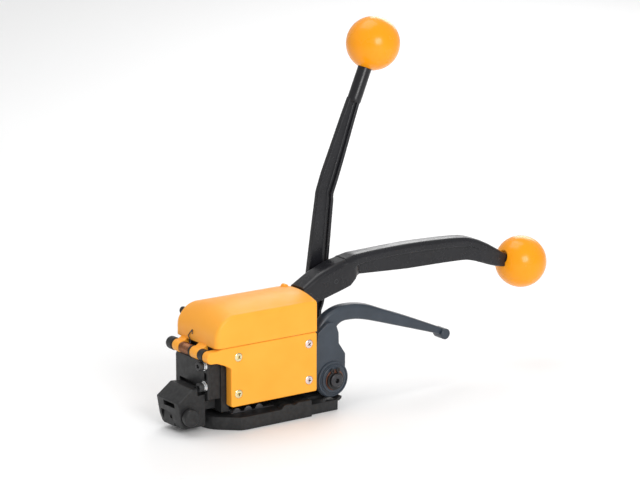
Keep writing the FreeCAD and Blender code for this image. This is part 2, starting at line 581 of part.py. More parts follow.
guide_rear = d.plate_front
guide = plate("guide_profile", d.guide_near, d.guide_far - d.guide_near, [
    (d.guide_front + 6, d.guide_low), (guide_rear, d.guide_low),
    (guide_rear, d.guide_high - 7),
    ((guide_rear - 2.6, d.guide_high - 1.8), (guide_rear - 8, d.guide_high)),
    (d.guide_crest, d.guide_high), (d.guide_front, d.guide_lip),
    (d.guide_front + 3, d.guide_low + 8)])
guide_slot = block("guide_slot", (d.guide_front - 1, d.guide_front + d.guide_slot_deep),
                   (d.guide_slot_near, d.guide_slot_far), (d.guide_slot_low, d.guide_slot_high))
jaw_seat = block("jaw_seat", (d.guide_front - 1, d.guide_front + 6 + d.jaw_thick),
                 (d.jaw_near, d.jaw_far), (d.guide_low - 1, d.jaw_high))
stem_bore = rod("stem_bore", "y", d.guide_near - 1, (d.knob_x, d.knob_z), d.knob_stem_radius + 0.3,
                d.knob_stem_long + 1.5)
tongue_high = Size.of(26)
tongue = block("guide_tongue", (guide_rear, d.body_front), (d.guide_near + 6, d.guide_far - 2),
               (tongue_high - 8, tongue_high))
head_relief = block("head_relief", (guide_rear - d.washer_thick * 2 - d.plate_head_long - 1, guide_rear + 1),
                    (d.guide_near - 1, d.plate_screw_y + d.washer_radius + 0.6),
                    (d.plate_screw_low - d.washer_radius - 0.6, d.guide_high + 1))
guide_body = cut("guide_cut", guide, [guide_slot, jaw_seat, stem_bore, head_relief])
keep("guide_block", fuse("guide_all", [guide_body, tongue]))
jaw = block("jaw_block", (d.guide_front + 4.5, d.guide_front + 6 + d.jaw_thick),
            (d.jaw_near, d.jaw_far), (d.guide_low, d.jaw_high))
jaw_screw_spot = (d.jaw_near + 5, d.jaw_high - 5)
jaw_hole = rod("jaw_hole", "x", d.guide_front, jaw_screw_spot, Size.of(1.8), Size.of(9))
keep("guide_jaw", cut("jaw_cut", jaw, [jaw_hole]))
keep("guide_jaw_screw", rod("jaw_screw_rod", "x", d.guide_front + 5.5, jaw_screw_spot,
                            Size.of(1.8), Size.of(3)))
knob_disc = rod("knob_disc", "y", d.guide_near - d.knob_gap - d.knob_thick, (d.knob_x, d.knob_z),
                d.knob_radius, d.knob_thick)
knob_stem = rod("knob_stem", "y", d.guide_near - d.knob_gap - 1, (d.knob_x, d.knob_z),
                d.knob_stem_radius, d.knob_stem_long)
keep("guide_knob", fuse("knob_all", [knob_disc, knob_stem]))

# ------------------------------------------------------------------ cam shaft, crank and handle
bush_outer = d.cam_shaft_radius + d.fit_clear + d.bush_wall
bushes = []
for index, (low, wide) in enumerate([(d.body_near, d.near_wall),
                                     (d.lug_far_near, far_inner - d.lug_far_near)]):
    ring = rod("bush_ring_%d" % index, "y", low, (d.cam_x, d.cam_z), bush_outer, wide)
    hole = rod("bush_hole_%d" % index, "y", low - 1, (d.cam_x, d.cam_z),
               d.cam_shaft_radius + d.fit_clear, wide + 2)
    bushes.append(cut("bush_%d" % index, ring, [hole]))
keep("cam_bushes", group("bush_set", bushes))
keep("cam_shaft", rod("cam_shaft_rod", "y", d.body_near + 0.5, (d.cam_x, d.cam_z),
                      d.cam_shaft_radius, far_inner - d.body_near - 1))


def cam_plate(low, wide):
    """Cam whose support distance grows in line with its turn, so a flat shoe sinks steadily.

    For the direction at angle a below the shaft, the support distance is
    h = base + lift * (turn / swing), and the edge point is h along that direction plus
    dh/da square to it.
    """
    base = d.cam_base_radius.value - d.cam_clear.value
    swing = math.radians(d.cam_swing.value)
    slope = d.cam_lift.value / swing
    extra = math.radians(6)
    points = []
    for step in range(41):
        turn = -extra + (swing + 2 * extra) * step / 40
        heading = -math.pi / 2 - turn
        reach = base + slope * max(0.0, min(turn, swing + extra))
        rate = -slope if turn > 0 else 0.0
        outward = V(math.cos(heading), 0, math.sin(heading))
        sideways = V(-math.sin(heading), 0, math.cos(heading))
        points.append(outward * reach + sideways * rate)
    edges = [Part.makePolygon(points).Edges]
    lobe = Part.Wire(sum(edges, []) + [Part.makeLine(points[-1], V()), Part.makeLine(V(), points[0])])
    profile = Part.Face(lobe).extrude(V(0, wide, 0))
    disc = Part.makeCylinder(base, wide, V(), V(0, 1, 0))
    bore = Part.makeCylinder(d.cam_shaft_radius.value, wide, V(), V(0, 1, 0))
    shape = disc.fuse(profile).removeSplitter().cut(bore)
    shape.translate(V(d.cam_x.value, low, d.cam_z.value))
    return shape


cams = doc.addObject("Part::Feature", "cam_pair")
cam_high = -(d.cam_near.value + d.cam_wide.value)
cams.Shape = Part.makeCompound([cam_plate(d.cam_near.value, d.cam_wide.value),
                                cam_plate(cam_high, d.cam_wide.value)])
keep("sealing_cams", cams)

pin_spots = [(d.crank_pin_one_x, d.crank_pin_one_z), (d.crank_pin_two_x, d.crank_pin_two_z)]
arm_low = d.crank_pin_one_z - 9
crank_bar = plate("crank_bar", -d.crank_half, d.crank_half * 2, [
    (d.cam_x, d.cam_z - d.crank_hub_radius + 1), (d.handle_front, arm_low),
    (d.crank_pin_two_x + 5, d.crank_pin_two_z - 5), (d.crank_pin_two_x + 5, d.crank_pin_two_z + 4),
    (d.handle_front + 1, d.crank_pin_one_z + 5), (d.handle_front + 1, d.lid_top - d.lid_wall - 1.5),
    (d.cam_x, d.lid_top - d.lid_wall - 1.5)])
crank_hub = rod("crank_hub", "y", -d.crank_half, (d.cam_x, d.cam_z), d.crank_hub_radius,
                d.crank_half * 2)
crank_bore = rod("crank_bore", "y", -d.crank_half - 1, (d.cam_x, d.cam_z), d.cam_shaft_radius,
                 d.crank_half * 2 + 2)
crank_holes = [rod("crank_hole_%d" % index, "y", -d.handle_half - 1, spot, d.pin_radius,
                   d.handle_half * 2 + 2) for index, spot in enumerate(pin_spots)]
keep("crank_arm", cut("crank_cut", fuse("crank_all", [crank_bar, crank_hub]),
                      [crank_bore] + crank_holes))
crank_pins = [rod("crank_pin_%d" % index, "y", -d.handle_half, spot, d.pin_radius,
                  d.handle_half * 2) for index, spot in enumerate(pin_spots)]
keep("crank_pins", group("crank_pin_set", crank_pins))

ball_neck_x = d.seal_ball_x - 21
shell = plate("handle_shell", -d.handle_half, d.handle_half * 2, [
    (d.handle_front, Size.of(93.5)), (Size.of(96.5), Size.of(108.2)),
    (Size.of(105.5), Size.of(116)), (Size.of(105.5), Size.of(136.3)),
    ((Size.of(71), Size.of(128)), (d.handle_front, Size.of(112)))])
channel = block("handle_channel", (d.handle_front - 1, Size.of(92)),
                (-d.channel_half, d.channel_half), (Size.of(80), Size.of(120.5)))
grip = plate("handle_grip", -d.grip_half, d.grip_half * 2, [
    (Size.of(100), Size.of(112)), (Size.of(105.5), Size.of(115.5)),
    (Size.of(166), Size.of(112)), (Size.of(235), Size.of(111)),
    ((Size.of(250), Size.of(107.6)), (Size.of(264), Size.of(101.5))),
    (Size.of(268), Size.of(119)),
    ((Size.of(252), Size.of(129)), (Size.of(226), Size.of(134.5))),
    ((Size.of(165), Size.of(137)), (Size.of(100), Size.of(135.5)))])
neck_low = V(262, 0, 112)
neck_turn = FreeCAD.Rotation(V(0, 0, 1), V(d.seal_ball_x.value, 0, d.seal_ball_z.value) - neck_low)
neck = doc.addObject("Part::Cone", "handle_neck")
place(neck, Size.of(262), 0, Size.of(112), turn=neck_turn)
neck.Radius1 = 8.4
bind(neck, "Radius2", d.handle_end_radius)
bind(neck, "Height", d.seal_ball_x - 262 - 12)
ball_seat = ball("seal_ball_seat", (d.seal_ball_x, 0, d.seal_ball_z), d.ball_radius)
handle_solid = fuse("handle_solid", [shell, grip, neck])
grip_recesses = [plate(name, low, d.handle_half - d.grip_web_half + 1, [
    (d.grip_recess_front, d.grip_recess_top), (d.grip_recess_rear - 6, d.grip_recess_top - 3),
    (d.grip_recess_rear, d.grip_recess_top - 10), (d.grip_recess_rear, d.grip_recess_top - 28),
    (d.grip_recess_front - 9, d.grip_recess_top - 28),
    (d.grip_recess_front - 9, d.grip_recess_top - 13)])
    for name, low in (("grip_recess_near", -d.handle_half - 1), ("grip_recess_far", d.grip_web_half))]
handle_open = cut("handle_open", handle_solid, [channel] + grip_recesses + [
    rod("handle_pin_hole_%d" % index, "y", -d.handle_half - 1, spot, d.pin_radius,
        d.handle_half * 2 + 2) for index, spot in enumerate(pin_spots)])
keep("sealing_handle", cut("handle_cut", handle_open, [ball_seat]))
keep("sealing_knob", ball("seal_ball", (d.seal_ball_x, 0, d.seal_ball_z), d.ball_radius))

# ------------------------------------------------------------------ punch slide under the cams
shoe_top = d.cam_z - d.cam_base_radius
slide_top = shoe_top - d.shoe_thick
ear_low = slide_top - d.ear_thick
slide_block = block("slide_block", (d.slide_front, d.slide_rear), (-d.slide_half, d.slide_half),
                    (d.slide_low, slide_top))
slide_ears = block("slide_ears", (d.slide_front - d.ear_reach, d.slide_rear + d.ear_reach),
                   (Size.of(-7), Size.of(7)), (ear_low, slide_top))
keep("punch_slide", fuse("slide_all", [slide_block, slide_ears]))
keep("cam_shoe", block("shoe_block", (d.cam_x - 14, d.cam_x + 14), (-d.slide_half, d.slide_half),
                       (slide_top, shoe_top)))
punches = []
for index in range(3):
    centre = d.punch_first + d.punch_pitch * index
    punches.append(block("punch_%d" % index, (centre - d.punch_thick / 2, centre + d.punch_thick / 2),
                         (-d.punch_half, d.punch_half), (d.punch_low, d.slide_low)))
keep("sealing_punches", group("punch_set", punches))
keep("cutter_blade", block("cutter_block", (d.cutter_x, d.cutter_x + d.cutter_thick),
                           (-d.punch_half, d.punch_half), (d.punch_low, d.slide_low)))
return_springs = []
spring_spots = [d.slide_front - d.ear_reach + 4, d.slide_rear + d.ear_reach - 4]
for index, spot in enumerate(spring_spots):
    tube = rod("return_tube_%d" % index, "z", d.ledge_top, (spot, 0), d.slide_spring_radius,
               ear_low - d.ledge_top)
    core = rod("return_core_%d" % index, "z", d.ledge_top - 1, (spot, 0),
               d.slide_spring_radius - 1.2, ear_low - d.ledge_top + 2)
    return_springs.append(cut("return_spring_%d" % index, tube, [core]))
keep("slide_springs", group("return_spring_set", return_springs))

# ------------------------------------------------------------------ rocker that carries the feed wheel
cheek_near_out = d.body_near - d.cheek_gap - d.cheek_thick
cheek_far_in = d.body_far - d.cheek_thick - d.cheek_gap


def cheek_outline():
    """Side cheek: pivot boss in front, lobe on top, round boss for the shaft behind."""
    boss_front = d.feed_x - d.boss_radius
    return [
        ((d.rock_x - d.rock_boss_radius, d.rock_z), (d.rock_x, d.rock_z - d.rock_boss_radius)),
        (d.body_rear + 2.4, d.rock_z - 9.5), (boss_front, d.feed_z),
        ((d.feed_x, d.feed_z - d.boss_radius), (d.feed_x + 13.2, d.feed_z - 11.3)),
        (Size.of(76.5), Size.of(31)), (Size.of(76.5), Size.of(50.4)),
        (Size.of(69.4), Size.of(61.4)), (Size.of(69.2), Size.of(72)),
        ((Size.of(66.2), Size.of(80.2)), (Size.of(58.5), Size.of(82))),
        (d.body_rear + 3.6, Size.of(73.8)), (d.body_rear + 2.4, d.rock_z + 9.5),
        (d.rock_x, d.rock_z + d.rock_boss_radius),
    ]


near_cheek = plate("near_cheek", cheek_near_out, d.cheek_thick, cheek_outline())
ring_one = rod("boss_ring", "y", cheek_near_out - d.boss_rise, (d.feed_x, d.feed_z),
               d.boss_radius - 0.6, d.boss_rise + 1)
ring_two = rod("boss_step", "y", cheek_near_out - d.boss_rise * 2, (d.feed_x, d.feed_z),
               d.boss_step_radius, d.boss_rise + 1)
arm = plate("lever_arm", d.arm_near, d.arm_wide, [
    (Size.of(56), Size.of(55)), (Size.of(65), Size.of(55)), (Size.of(68), Size.of(72)),
    ((Size.of(74), Size.of(78)), (Size.of(88), Size.of(79))),
    ((Size.of(104), Size.of(76.5)), (Size.of(118), Size.of(72))),
    (d.tip_x - 5, d.tip_z - 1), (d.tip_x + 1, d.tip_z + 5),
    (Size.of(124), Size.of(83.5)),
    ((Size.of(95), Size.of(93.4)), (Size.of(66), Size.of(90.5))),
    ((Size.of(59), Size.of(86)), (Size.of(56), Size.of(78)))])
arm_join = block("arm_join", (Size.of(56), Size.of(68)),
                 (cheek_near_out + d.cheek_thick - 1, d.arm_near + 2), (Size.of(62), Size.of(76)))
tip = rod("lever_tip", "y", d.arm_near - 1, (d.tip_x, d.tip_z), d.tip_radius, d.arm_wide + 6)
rocker_pivot = rod("rocker_pivot_bore", "y", cheek_near_out - 1, (d.rock_x, d.rock_z),
                   d.rock_pin_radius + d.fit_clear, d.cheek_thick + 2)
rocker_shaft = rod("rocker_shaft_bore", "y", cheek_near_out - 5, (d.feed_x, d.feed_z),
                   d.shaft_bush_radius, d.cheek_thick + 6)
leg_hole = rod("leg_hole", "x", Size.of(55), (near_inner + 2.5, d.rock_z + 7.8), Size.of(2),
               Size.of(7))
keep("rocker", cut("rocker_cut", fuse("rocker_all", [near_cheek, ring_one, ring_two, arm,
                                                     arm_join, tip]),
                   [rocker_pivot, rocker_shaft, leg_hole]))
far_cheek = plate("far_cheek_plate", cheek_far_in, d.cheek_thick, cheek_outline())
far_pivot = rod("far_pivot_bore", "y", cheek_far_in - 1, (d.rock_x, d.rock_z),
                d.rock_pin_radius + d.fit_clear, d.cheek_thick + 2)
far_shaft = rod("far_shaft_bore", "y", cheek_far_in - 1, (d.feed_x, d.feed_z),
                d.shaft_bush_radius, d.cheek_thick + 2)
hold_pin_spot = (d.feed_x - 15.2, d.feed_z + 15.4)
hold_pin_hole = rod("hold_pin_hole", "y", cheek_far_in - 1, hold_pin_spot, d.pawl_pin_radius,
                    d.cheek_thick + 2)
keep("far_cheek", cut("far_cheek_cut", far_cheek, [far_pivot, far_shaft, hold_pin_hole]))
keep("rocker_pivot_pin", rod("rocker_pin_rod", "y", cheek_near_out + 0.2, (d.rock_x, d.rock_z),
                             d.rock_pin_radius, cheek_far_in + d.cheek_thick - cheek_near_out - 0.4))
shaft_bushes = []
near_bush_low = cheek_near_out - d.boss_rise * 2
for index, (low, high) in enumerate([(near_bush_low, cheek_near_out + d.cheek_thick),
                                     (cheek_far_in, cheek_far_in + d.cheek_thick)]):
    ring = rod("shaft_bush_ring_%d" % index, "y", low, (d.feed_x, d.feed_z), d.shaft_bush_radius,
               high - low)
    hole = rod("shaft_bush_hole_%d" % index, "y", low - 1, (d.feed_x, d.feed_z),
               d.feed_shaft_radius + d.fit_clear, high - low + 2)
    shaft_bushes.append(cut("shaft_bush_%d" % index, ring, [hole]))
keep("shaft_bushes", group("shaft_bush_set", shaft_bushes))
rocker_coil_out = rod("rocker_coil", "y", near_inner + 1, (d.rock_x, d.rock_z), Size.of(9),
                      Size.of(8))
rocker_coil_in = rod("rocker_coil_hole", "y", near_inner, (d.rock_x, d.rock_z), Size.of(6.6),
                     Size.of(10))
rocker_coil = cut("rocker_coil_cut", rocker_coil_out, [rocker_coil_in])
spring_leg = block("rocker_spring_leg", (d.rock_x, d.body_rear + 18),
                   (near_inner + 1.5, near_inner + 3.5), (d.rock_z + 6.8, d.rock_z + 8.8))
keep("rocker_spring", fuse("rocker_spring_all", [rocker_coil, spring_leg]))

# ------------------------------------------------------------------ feed shaft, wheel and ratchet
clip_gap = Size.of(0.3)
near_clip = near_bush_low - 1 - clip_gap - d.clip_thick
shaft_low = near_clip - 2
far_clip = cheek_far_in + d.cheek_thick + 0.5
shaft_rod = rod("shaft_rod", "y", shaft_low, (d.feed_x, d.feed_z), d.feed_shaft_radius,
                far_clip + d.clip_thick + 1.5 - shaft_low)
centre_drill = rod("centre_drill", "y", shaft_low - 1, (d.feed_x, d.feed_z), Size.of(2.2),
                   Size.of(6))
keep("feed_shaft", cut("shaft_cut", shaft_rod, [centre_drill]))


def shaft_ring(name, low, wide, outer):
    """Ring that sits tight on the feed shaft."""
    ring = rod(name + "_ring", "y", low, (d.feed_x, d.feed_z), outer, wide)
    hole = rod(name + "_hole", "y", Size.of(low) - 1, (d.feed_x, d.feed_z), d.feed_shaft_radius,
               Size.of(wide) + 2)
    return cut(name, ring, [hole])


clips = []
for index, low in enumerate([near_clip, far_clip]):
    ring = shaft_ring("clip_%d" % index, low, d.clip_thick, d.clip_radius)
    ears = block("clip_ears_%d" % index, (d.feed_x - 4.5, d.feed_x + 4.5), (low, low + d.clip_thick),
                 (d.feed_z + d.clip_radius - 1, d.feed_z + d.clip_radius + 2.6))
    split = block("clip_split_%d" % index, (d.feed_x - 1.3, d.feed_x + 1.3),
                  (low - 1, low + d.clip_thick + 1), (d.feed_z + 6, d.feed_z + 14))
    clips.append(cut("clip_cut_%d" % index, fuse("clip_all_%d" % index, [ring, ears]), [split]))
keep("circlips", group("clip_set", clips))
keep("thrust_washer", shaft_ring("thrust_ring", near_bush_low - 1, Size.of(0.9), Size.of(10.5)))
keep("feed_spacers", group("spacer_set", [
    shaft_ring("spacer_near", d.body_near + 0.5, -d.wheel_half - d.body_near - 0.5, Size.of(8.5)),
    shaft_ring("spacer_far", d.hub_near + d.hub_wide + 0.4,
               cheek_far_in - d.hub_near - d.hub_wide - 0.8, Size.of(8.5))]))


def toothed_disc(name, low, wide, tip_radius, root_radius, count, lean, bore):
    """Toothed wheel: a star outline with one leaning tooth per step, padded along Y."""
    points = []
    for tooth in range(count):
        start = 2 * math.pi * tooth / count
        points.append(V(root_radius * math.cos(start), 0, root_radius * math.sin(start)))
        crest = start + 2 * math.pi * lean / count
        points.append(V(tip_radius * math.cos(crest), 0, tip_radius * math.sin(crest)))
    points.append(points[0])
    disc = Part.Face(Part.makePolygon(points)).extrude(V(0, wide, 0))
    disc = disc.cut(Part.makeCylinder(bore, wide, V(), V(0, 1, 0)))
    disc.translate(V(d.feed_x.value, low, d.feed_z.value))
    wheel = doc.addObject("Part::Feature", name)
    wheel.Shape = disc
    return wheel


keep("feed_wheel", toothed_disc("feed_wheel_disc", -d.wheel_half.value, 2 * d.wheel_half.value,
                                d.wheel_radius.value, d.wheel_radius.value - d.tooth_deep.value,
                                int(d.wheel_teeth.value), 0.5, d.feed_shaft_radius.value))
keep("ratchet_wheel", toothed_disc("ratchet_disc", d.ratchet_near.value, d.ratchet_wide.value,
                                   d.ratchet_tip.value, d.ratchet_root.value,
                                   int(d.tooth_count.value), 0.9, d.feed_shaft_radius.value))

# ------------------------------------------------------------------ tension handle
lever_web = plate("lever_web", d.lever_mid - d.web_half, d.web_half * 2, [
    (Size.of(57), Size.of(57)), (Size.of(79.8), Size.of(57)), (Size.of(88.4), Size.of(132)),
    (Size.of(94), Size.of(189)), (Size.of(101.2), Size.of(206.8)),
    (Size.of(124.6), Size.of(272)), (Size.of(114), Size.of(271)), (Size.of(107.8), Size.of(260)),
    (Size.of(85.2), Size.of(207.4)), (Size.of(78.6), Size.of(189.5)),
    (Size.of(73), Size.of(152.8)), (Size.of(67.9), Size.of(117))])
lever_flange = plate("lever_flange", d.lever_mid - d.flange_half, d.flange_half * 2, [
    (Size.of(81), Size.of(90)), (Size.of(83.6), Size.of(90)), (Size.of(88.4), Size.of(132)),
    (Size.of(94), Size.of(189)), (Size.of(101.2), Size.of(206.8)),
    (Size.of(124.6), Size.of(272)), (Size.of(121.4), Size.of(272.5)),
    (Size.of(98.4), Size.of(207.6)), (Size.of(91.2), Size.of(189.6)),
    (Size.of(85.6), Size.of(132.2))])
foot_bar = plate("lever_foot", d.hub_near, d.hub_wide, [
    (d.feed_x - 12, d.feed_z + 6), (d.feed_x + 12, d.feed_z + 6), (Size.of(79.6), Size.of(60)),
    (Size.of(57.2), Size.of(60))])
hub = rod("lever_hub", "y", d.hub_near, (d.feed_x, d.feed_z), d.hub_radius, d.hub_wide)
hub_bore = rod("lever_hub_bore", "y", d.hub_near - 1, (d.feed_x, d.feed_z), d.shaft_bush_radius,
               d.hub_wide + 2)
stem_foot = V(118.6, 0, 268.2)
stem_turn = FreeCAD.Rotation(V(0, 0, 1), V(d.tension_ball_x.value, 0, d.tension_ball_z.value)
                             - stem_foot)
stem = doc.addObject("Part::Cylinder", "lever_stem")
place(stem, Size.of(118.6), d.lever_mid, Size.of(268.2), turn=stem_turn)
bind(stem, "Radius", d.lever_neck_radius)
bind(stem, "Height", d.tension_ball_z - 268.2 - 8)
tension_seat = ball("tension_ball_seat", (d.tension_ball_x, d.lever_mid, d.tension_ball_z),
                    d.ball_radius)
pawl_pin_spot = (d.feed_x + 9, d.feed_z + 22)
lever_solid = fuse("lever_solid", [lever_web, lever_flange, foot_bar, hub, stem])
lever_pin_hole = rod("lever_pin_hole", "y", d.hub_near - 1, pawl_pin_spot, d.pawl_pin_radius,
                     d.hub_wide + 2)
keep("tension_handle", cut("lever_cut", lever_solid, [hub_bore, lever_pin_hole, tension_seat]))
keep("tension_knob", ball("tension_ball", (d.tension_ball_x, d.lever_mid, d.tension_ball_z),
                          d.ball_radius))
hub_bush = rod("hub_bush_ring", "y", d.hub_near, (d.feed_x, d.feed_z), d.shaft_bush_radius,
               d.hub_wide)
hub_bush_hole = rod("hub_bush_hole", "y", d.hub_near - 1, (d.feed_x, d.feed_z),
                    d.feed_shaft_radius + d.fit_clear, d.hub_wide + 2)
keep("handle_bush", cut("hub_bush_cut", hub_bush, [hub_bush_hole]))

# ------------------------------------------------------------------ pawls
pawl_low = d.ratchet_near + 0.2
pawl_wide = d.ratchet_wide - 0.4
tip_reach = d.ratchet_tip + d.pawl_gap


def polar(radius, degrees):
    """Point at a radius and heading from the feed shaft."""
    turn = math.radians(degrees)
    return (d.feed_x + radius * math.cos(turn), d.feed_z + radius * math.sin(turn))


def pawl(name, pin_spot, heading, sweep):
    """Pawl from its pin to a blunt tip lying just outside the ratchet's tip circle."""
    outer = tip_reach + 3
    blade = plate(name + "_blade", pawl_low, pawl_wide, [
        (pin_spot[0] - 3, pin_spot[1] + 2), polar(outer + 1, heading),
        polar(tip_reach, heading + sweep), polar(tip_reach + 0.6, heading - sweep),
        (pin_spot[0] + 3, pin_spot[1] - 2)])
    eye = rod(name + "_eye", "y", pawl_low, pin_spot, Size.of(4.2), pawl_wide)
    hole = rod(name + "_bore", "y", pawl_low - 1, pin_spot, d.pawl_pin_radius + d.fit_clear,
               pawl_wide + 2)
    return cut(name + "_cut", fuse(name + "_all", [blade, eye]), [hole])


keep("drive_pawl", pawl("drive_pawl_piece", pawl_pin_spot, 104, 6))
keep("holding_pawl", pawl("holding_pawl_piece", hold_pin_spot, 163, 6))
keep("drive_pawl_pin", rod("drive_pin_rod", "y", pawl_low - 3.8, pawl_pin_spot, d.pawl_pin_radius,
                           d.hub_near + d.hub_wide - pawl_low + 3.8))
keep("holding_pawl_pin", rod("hold_pin_rod", "y", pawl_low - 0.4, hold_pin_spot, d.pawl_pin_radius,
                             cheek_far_in + d.cheek_thick - pawl_low + 0.4))


def coil_tube(name, low, high, spot):
    """Plain tube standing for a small torsion coil round a pawl pin."""
    outer = rod(name + "_outer", "y", low, spot, d.pawl_pin_radius + 1.3, high - low)
    inner = rod(name + "_inner", "y", low - 1, spot, d.pawl_pin_radius + 0.3, high - low + 2)
    return cut(name + "_cut", outer, [inner])


keep("drive_pawl_spring", coil_tube("drive_coil", pawl_low - 3.2, pawl_low - 0.4, pawl_pin_spot))
keep("holding_pawl_spring", coil_tube("hold_coil", d.hub_near + d.hub_wide + 0.4,
                                      cheek_far_in - 0.2, hold_pin_spot))

doc.recompute()

# ------------------------------------------------------------------ check and write
for thing in doc.Objects:
    bad = [word for word in thing.State if word in ("Invalid", "Error")]
    if bad:
        raise RuntimeError("%s: %s" % (thing.Label, thing.State))
os.makedirs("parts", exist_ok=True)
for name, thing in subparts.items():
    shape = thing.Shape
    if shape.isNull() or not shape.isValid() or not shape.Solids:
        raise RuntimeError("bad shape: " + name)
    shape.exportStep("parts/%s.step" % name)
    print("%-22s solids %d volume %.0f" % (name, len(shape.Solids), shape.Volume))
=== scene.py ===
"""Looks of the strapping tensioner tool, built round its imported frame."""

import math

import bpy
import numpy as np
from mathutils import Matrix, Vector


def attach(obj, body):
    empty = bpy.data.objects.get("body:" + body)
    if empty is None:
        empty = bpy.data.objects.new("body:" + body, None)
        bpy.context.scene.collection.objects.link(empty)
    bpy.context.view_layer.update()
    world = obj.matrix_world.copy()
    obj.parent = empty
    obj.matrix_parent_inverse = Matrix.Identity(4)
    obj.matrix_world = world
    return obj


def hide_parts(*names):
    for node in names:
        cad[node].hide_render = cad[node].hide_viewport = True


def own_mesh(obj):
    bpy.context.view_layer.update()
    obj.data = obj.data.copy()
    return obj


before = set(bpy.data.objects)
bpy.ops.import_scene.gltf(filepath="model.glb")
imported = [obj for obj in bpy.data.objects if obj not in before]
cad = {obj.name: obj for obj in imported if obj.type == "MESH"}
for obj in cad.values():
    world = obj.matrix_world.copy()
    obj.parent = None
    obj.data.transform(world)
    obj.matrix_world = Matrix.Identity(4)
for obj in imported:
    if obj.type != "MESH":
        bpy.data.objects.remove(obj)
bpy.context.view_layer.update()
MM = 0.001

# Places that several pieces share, in millimetres.
HINGE_SPOT = (-71, 0, 70.3)
FEED_SPOT = (61.8, 0, 28.6)
KNOB_SPOT = (-88, 0, 16.5)
SCREW_SPOTS = [(-43, 33), (-43, 67), (33.4, 33), (33.4, 67)]
PLATE_SCREW_SPOTS = [(0, -19, 41.3), (0, -19, 60.8)]
SLIDE_SPRING_ROWS = (-40.5, 16.5)
LID_FRONT, LID_REAR, LID_LOW = -66.0, 42.0, 77.5
LEVER_MID = 19.6
BALL_RADIUS = 25


# ------------------------------------------------------------------ materials
class Finish:
    """A material being wired: noise, ramps and bumps that all read Object coordinates."""

    def __init__(self, name, colour, rough, metallic=0.0, coat=0.0, coat_rough=0.1,
                 specular=0.5):
        self.material = bpy.data.materials.new(name)
        self.material.use_nodes = True
        self.tree = self.material.node_tree
        self.shader = self.tree.nodes["Principled BSDF"]
        self.shader.inputs["Base Color"].default_value = (*colour, 1)
        self.shader.inputs["Roughness"].default_value = rough
        self.shader.inputs["Metallic"].default_value = metallic
        self.shader.inputs["Specular IOR Level"].default_value = specular
        self.shader.inputs["Coat Weight"].default_value = coat
        self.shader.inputs["Coat Roughness"].default_value = coat_rough
        self.place = self.tree.nodes.new("ShaderNodeTexCoord").outputs["Object"]

    def link(self, a, b):
        """Joins an output to an input."""
        self.tree.links.new(a, b)

    def noise(self, scale, detail=3.0, stretch=(1, 1, 1), rough=0.5):
        """Noise whose grain is 1 / scale metres, drawn out along an axis by stretch."""
        mapping = self.tree.nodes.new("ShaderNodeMapping")
        mapping.inputs["Scale"].default_value = stretch
        self.link(self.place, mapping.inputs["Vector"])
        node = self.tree.nodes.new("ShaderNodeTexNoise")
        node.inputs["Scale"].default_value = scale
        node.inputs["Detail"].default_value = detail
        node.inputs["Roughness"].default_value = rough
        self.link(mapping.outputs["Vector"], node.inputs["Vector"])
        return node.outputs["Fac"]

    def ramp(self, factor, *stops):
        """Colour ramp through (position, colour) stops."""
        node = self.tree.nodes.new("ShaderNodeValToRGB")
        while len(node.color_ramp.elements) < len(stops):
            node.color_ramp.elements.new(0.5)
        for element, (at, colour) in zip(node.color_ramp.elements, stops):
            element.position = at
            element.color = (*colour, 1)
        self.link(factor, node.inputs["Fac"])
        return node.outputs["Color"]

    def colour(self, factor, *stops):
        """Base colour from a ramp through (position, colour) stops."""
        self.link(self.ramp(factor, *stops), self.shader.inputs["Base Color"])

    def roughness(self, factor, low, high):
        """Roughness that runs from low to high over the middle of the noise."""
        node = self.tree.nodes.new("ShaderNodeMapRange")
        node.inputs["From Min"].default_value = 0.3
        node.inputs["From Max"].default_value = 0.7
        node.inputs["To Min"].default_value = low
        node.inputs["To Max"].default_value = high
        self.link(factor, node.inputs["Value"])
        self.link(node.outputs["Result"], self.shader.inputs["Roughness"])

    def bump(self, height, strength, distance):
        """Bump whose full height is distance metres, scaled by strength."""
        node = self.tree.nodes.new("ShaderNodeBump")
        node.inputs["Strength"].default_value = strength
        node.inputs["Distance"].default_value = distance
        self.link(height, node.inputs["Height"])
        self.link(node.outputs["Normal"], self.shader.inputs["Normal"])


def orange_paint():
    """Sprayed orange enamel: faint orange peel and a slow drift of shade."""
    f = Finish("orange_enamel", (0.92, 0.38, 0.035), 0.42, coat=0.06, coat_rough=0.3,
               specular=0.3)
    f.colour(f.noise(28, 2), (0.3, (0.93, 0.37, 0.028)), (0.7, (0.96, 0.405, 0.038)))
    f.roughness(f.noise(90, 3), 0.36, 0.48)
    f.bump(f.noise(900, 2), 0.10, 0.00012)
    return f.material


def orange_moulding():
    """Glossy moulded ball: slightly deeper orange with flow marks."""
    f = Finish("orange_moulding", (0.88, 0.31, 0.006), 0.25, coat=0.1, coat_rough=0.1,
               specular=0.3)
    f.colour(f.noise(22, 2, (1, 1, 0.5)), (0.3, (0.90, 0.31, 0.002)), (0.7, (0.93, 0.335, 0.004)))
    f.roughness(f.noise(60, 3), 0.2, 0.3)
    f.bump(f.noise(500, 2), 0.05, 0.0001)
    return f.material


def black_enamel():
    """Gloss black dipped enamel over a forging."""
    f = Finish("black_enamel", (0.012, 0.012, 0.013), 0.3, specular=0.38)
    f.colour(f.noise(40, 3), (0.35, (0.008, 0.008, 0.010)), (0.7, (0.011, 0.011, 0.014)))
    f.roughness(f.noise(120, 4), 0.24, 0.33)
    f.bump(f.noise(90, 2), 0.05, 0.0002)
    return f.material


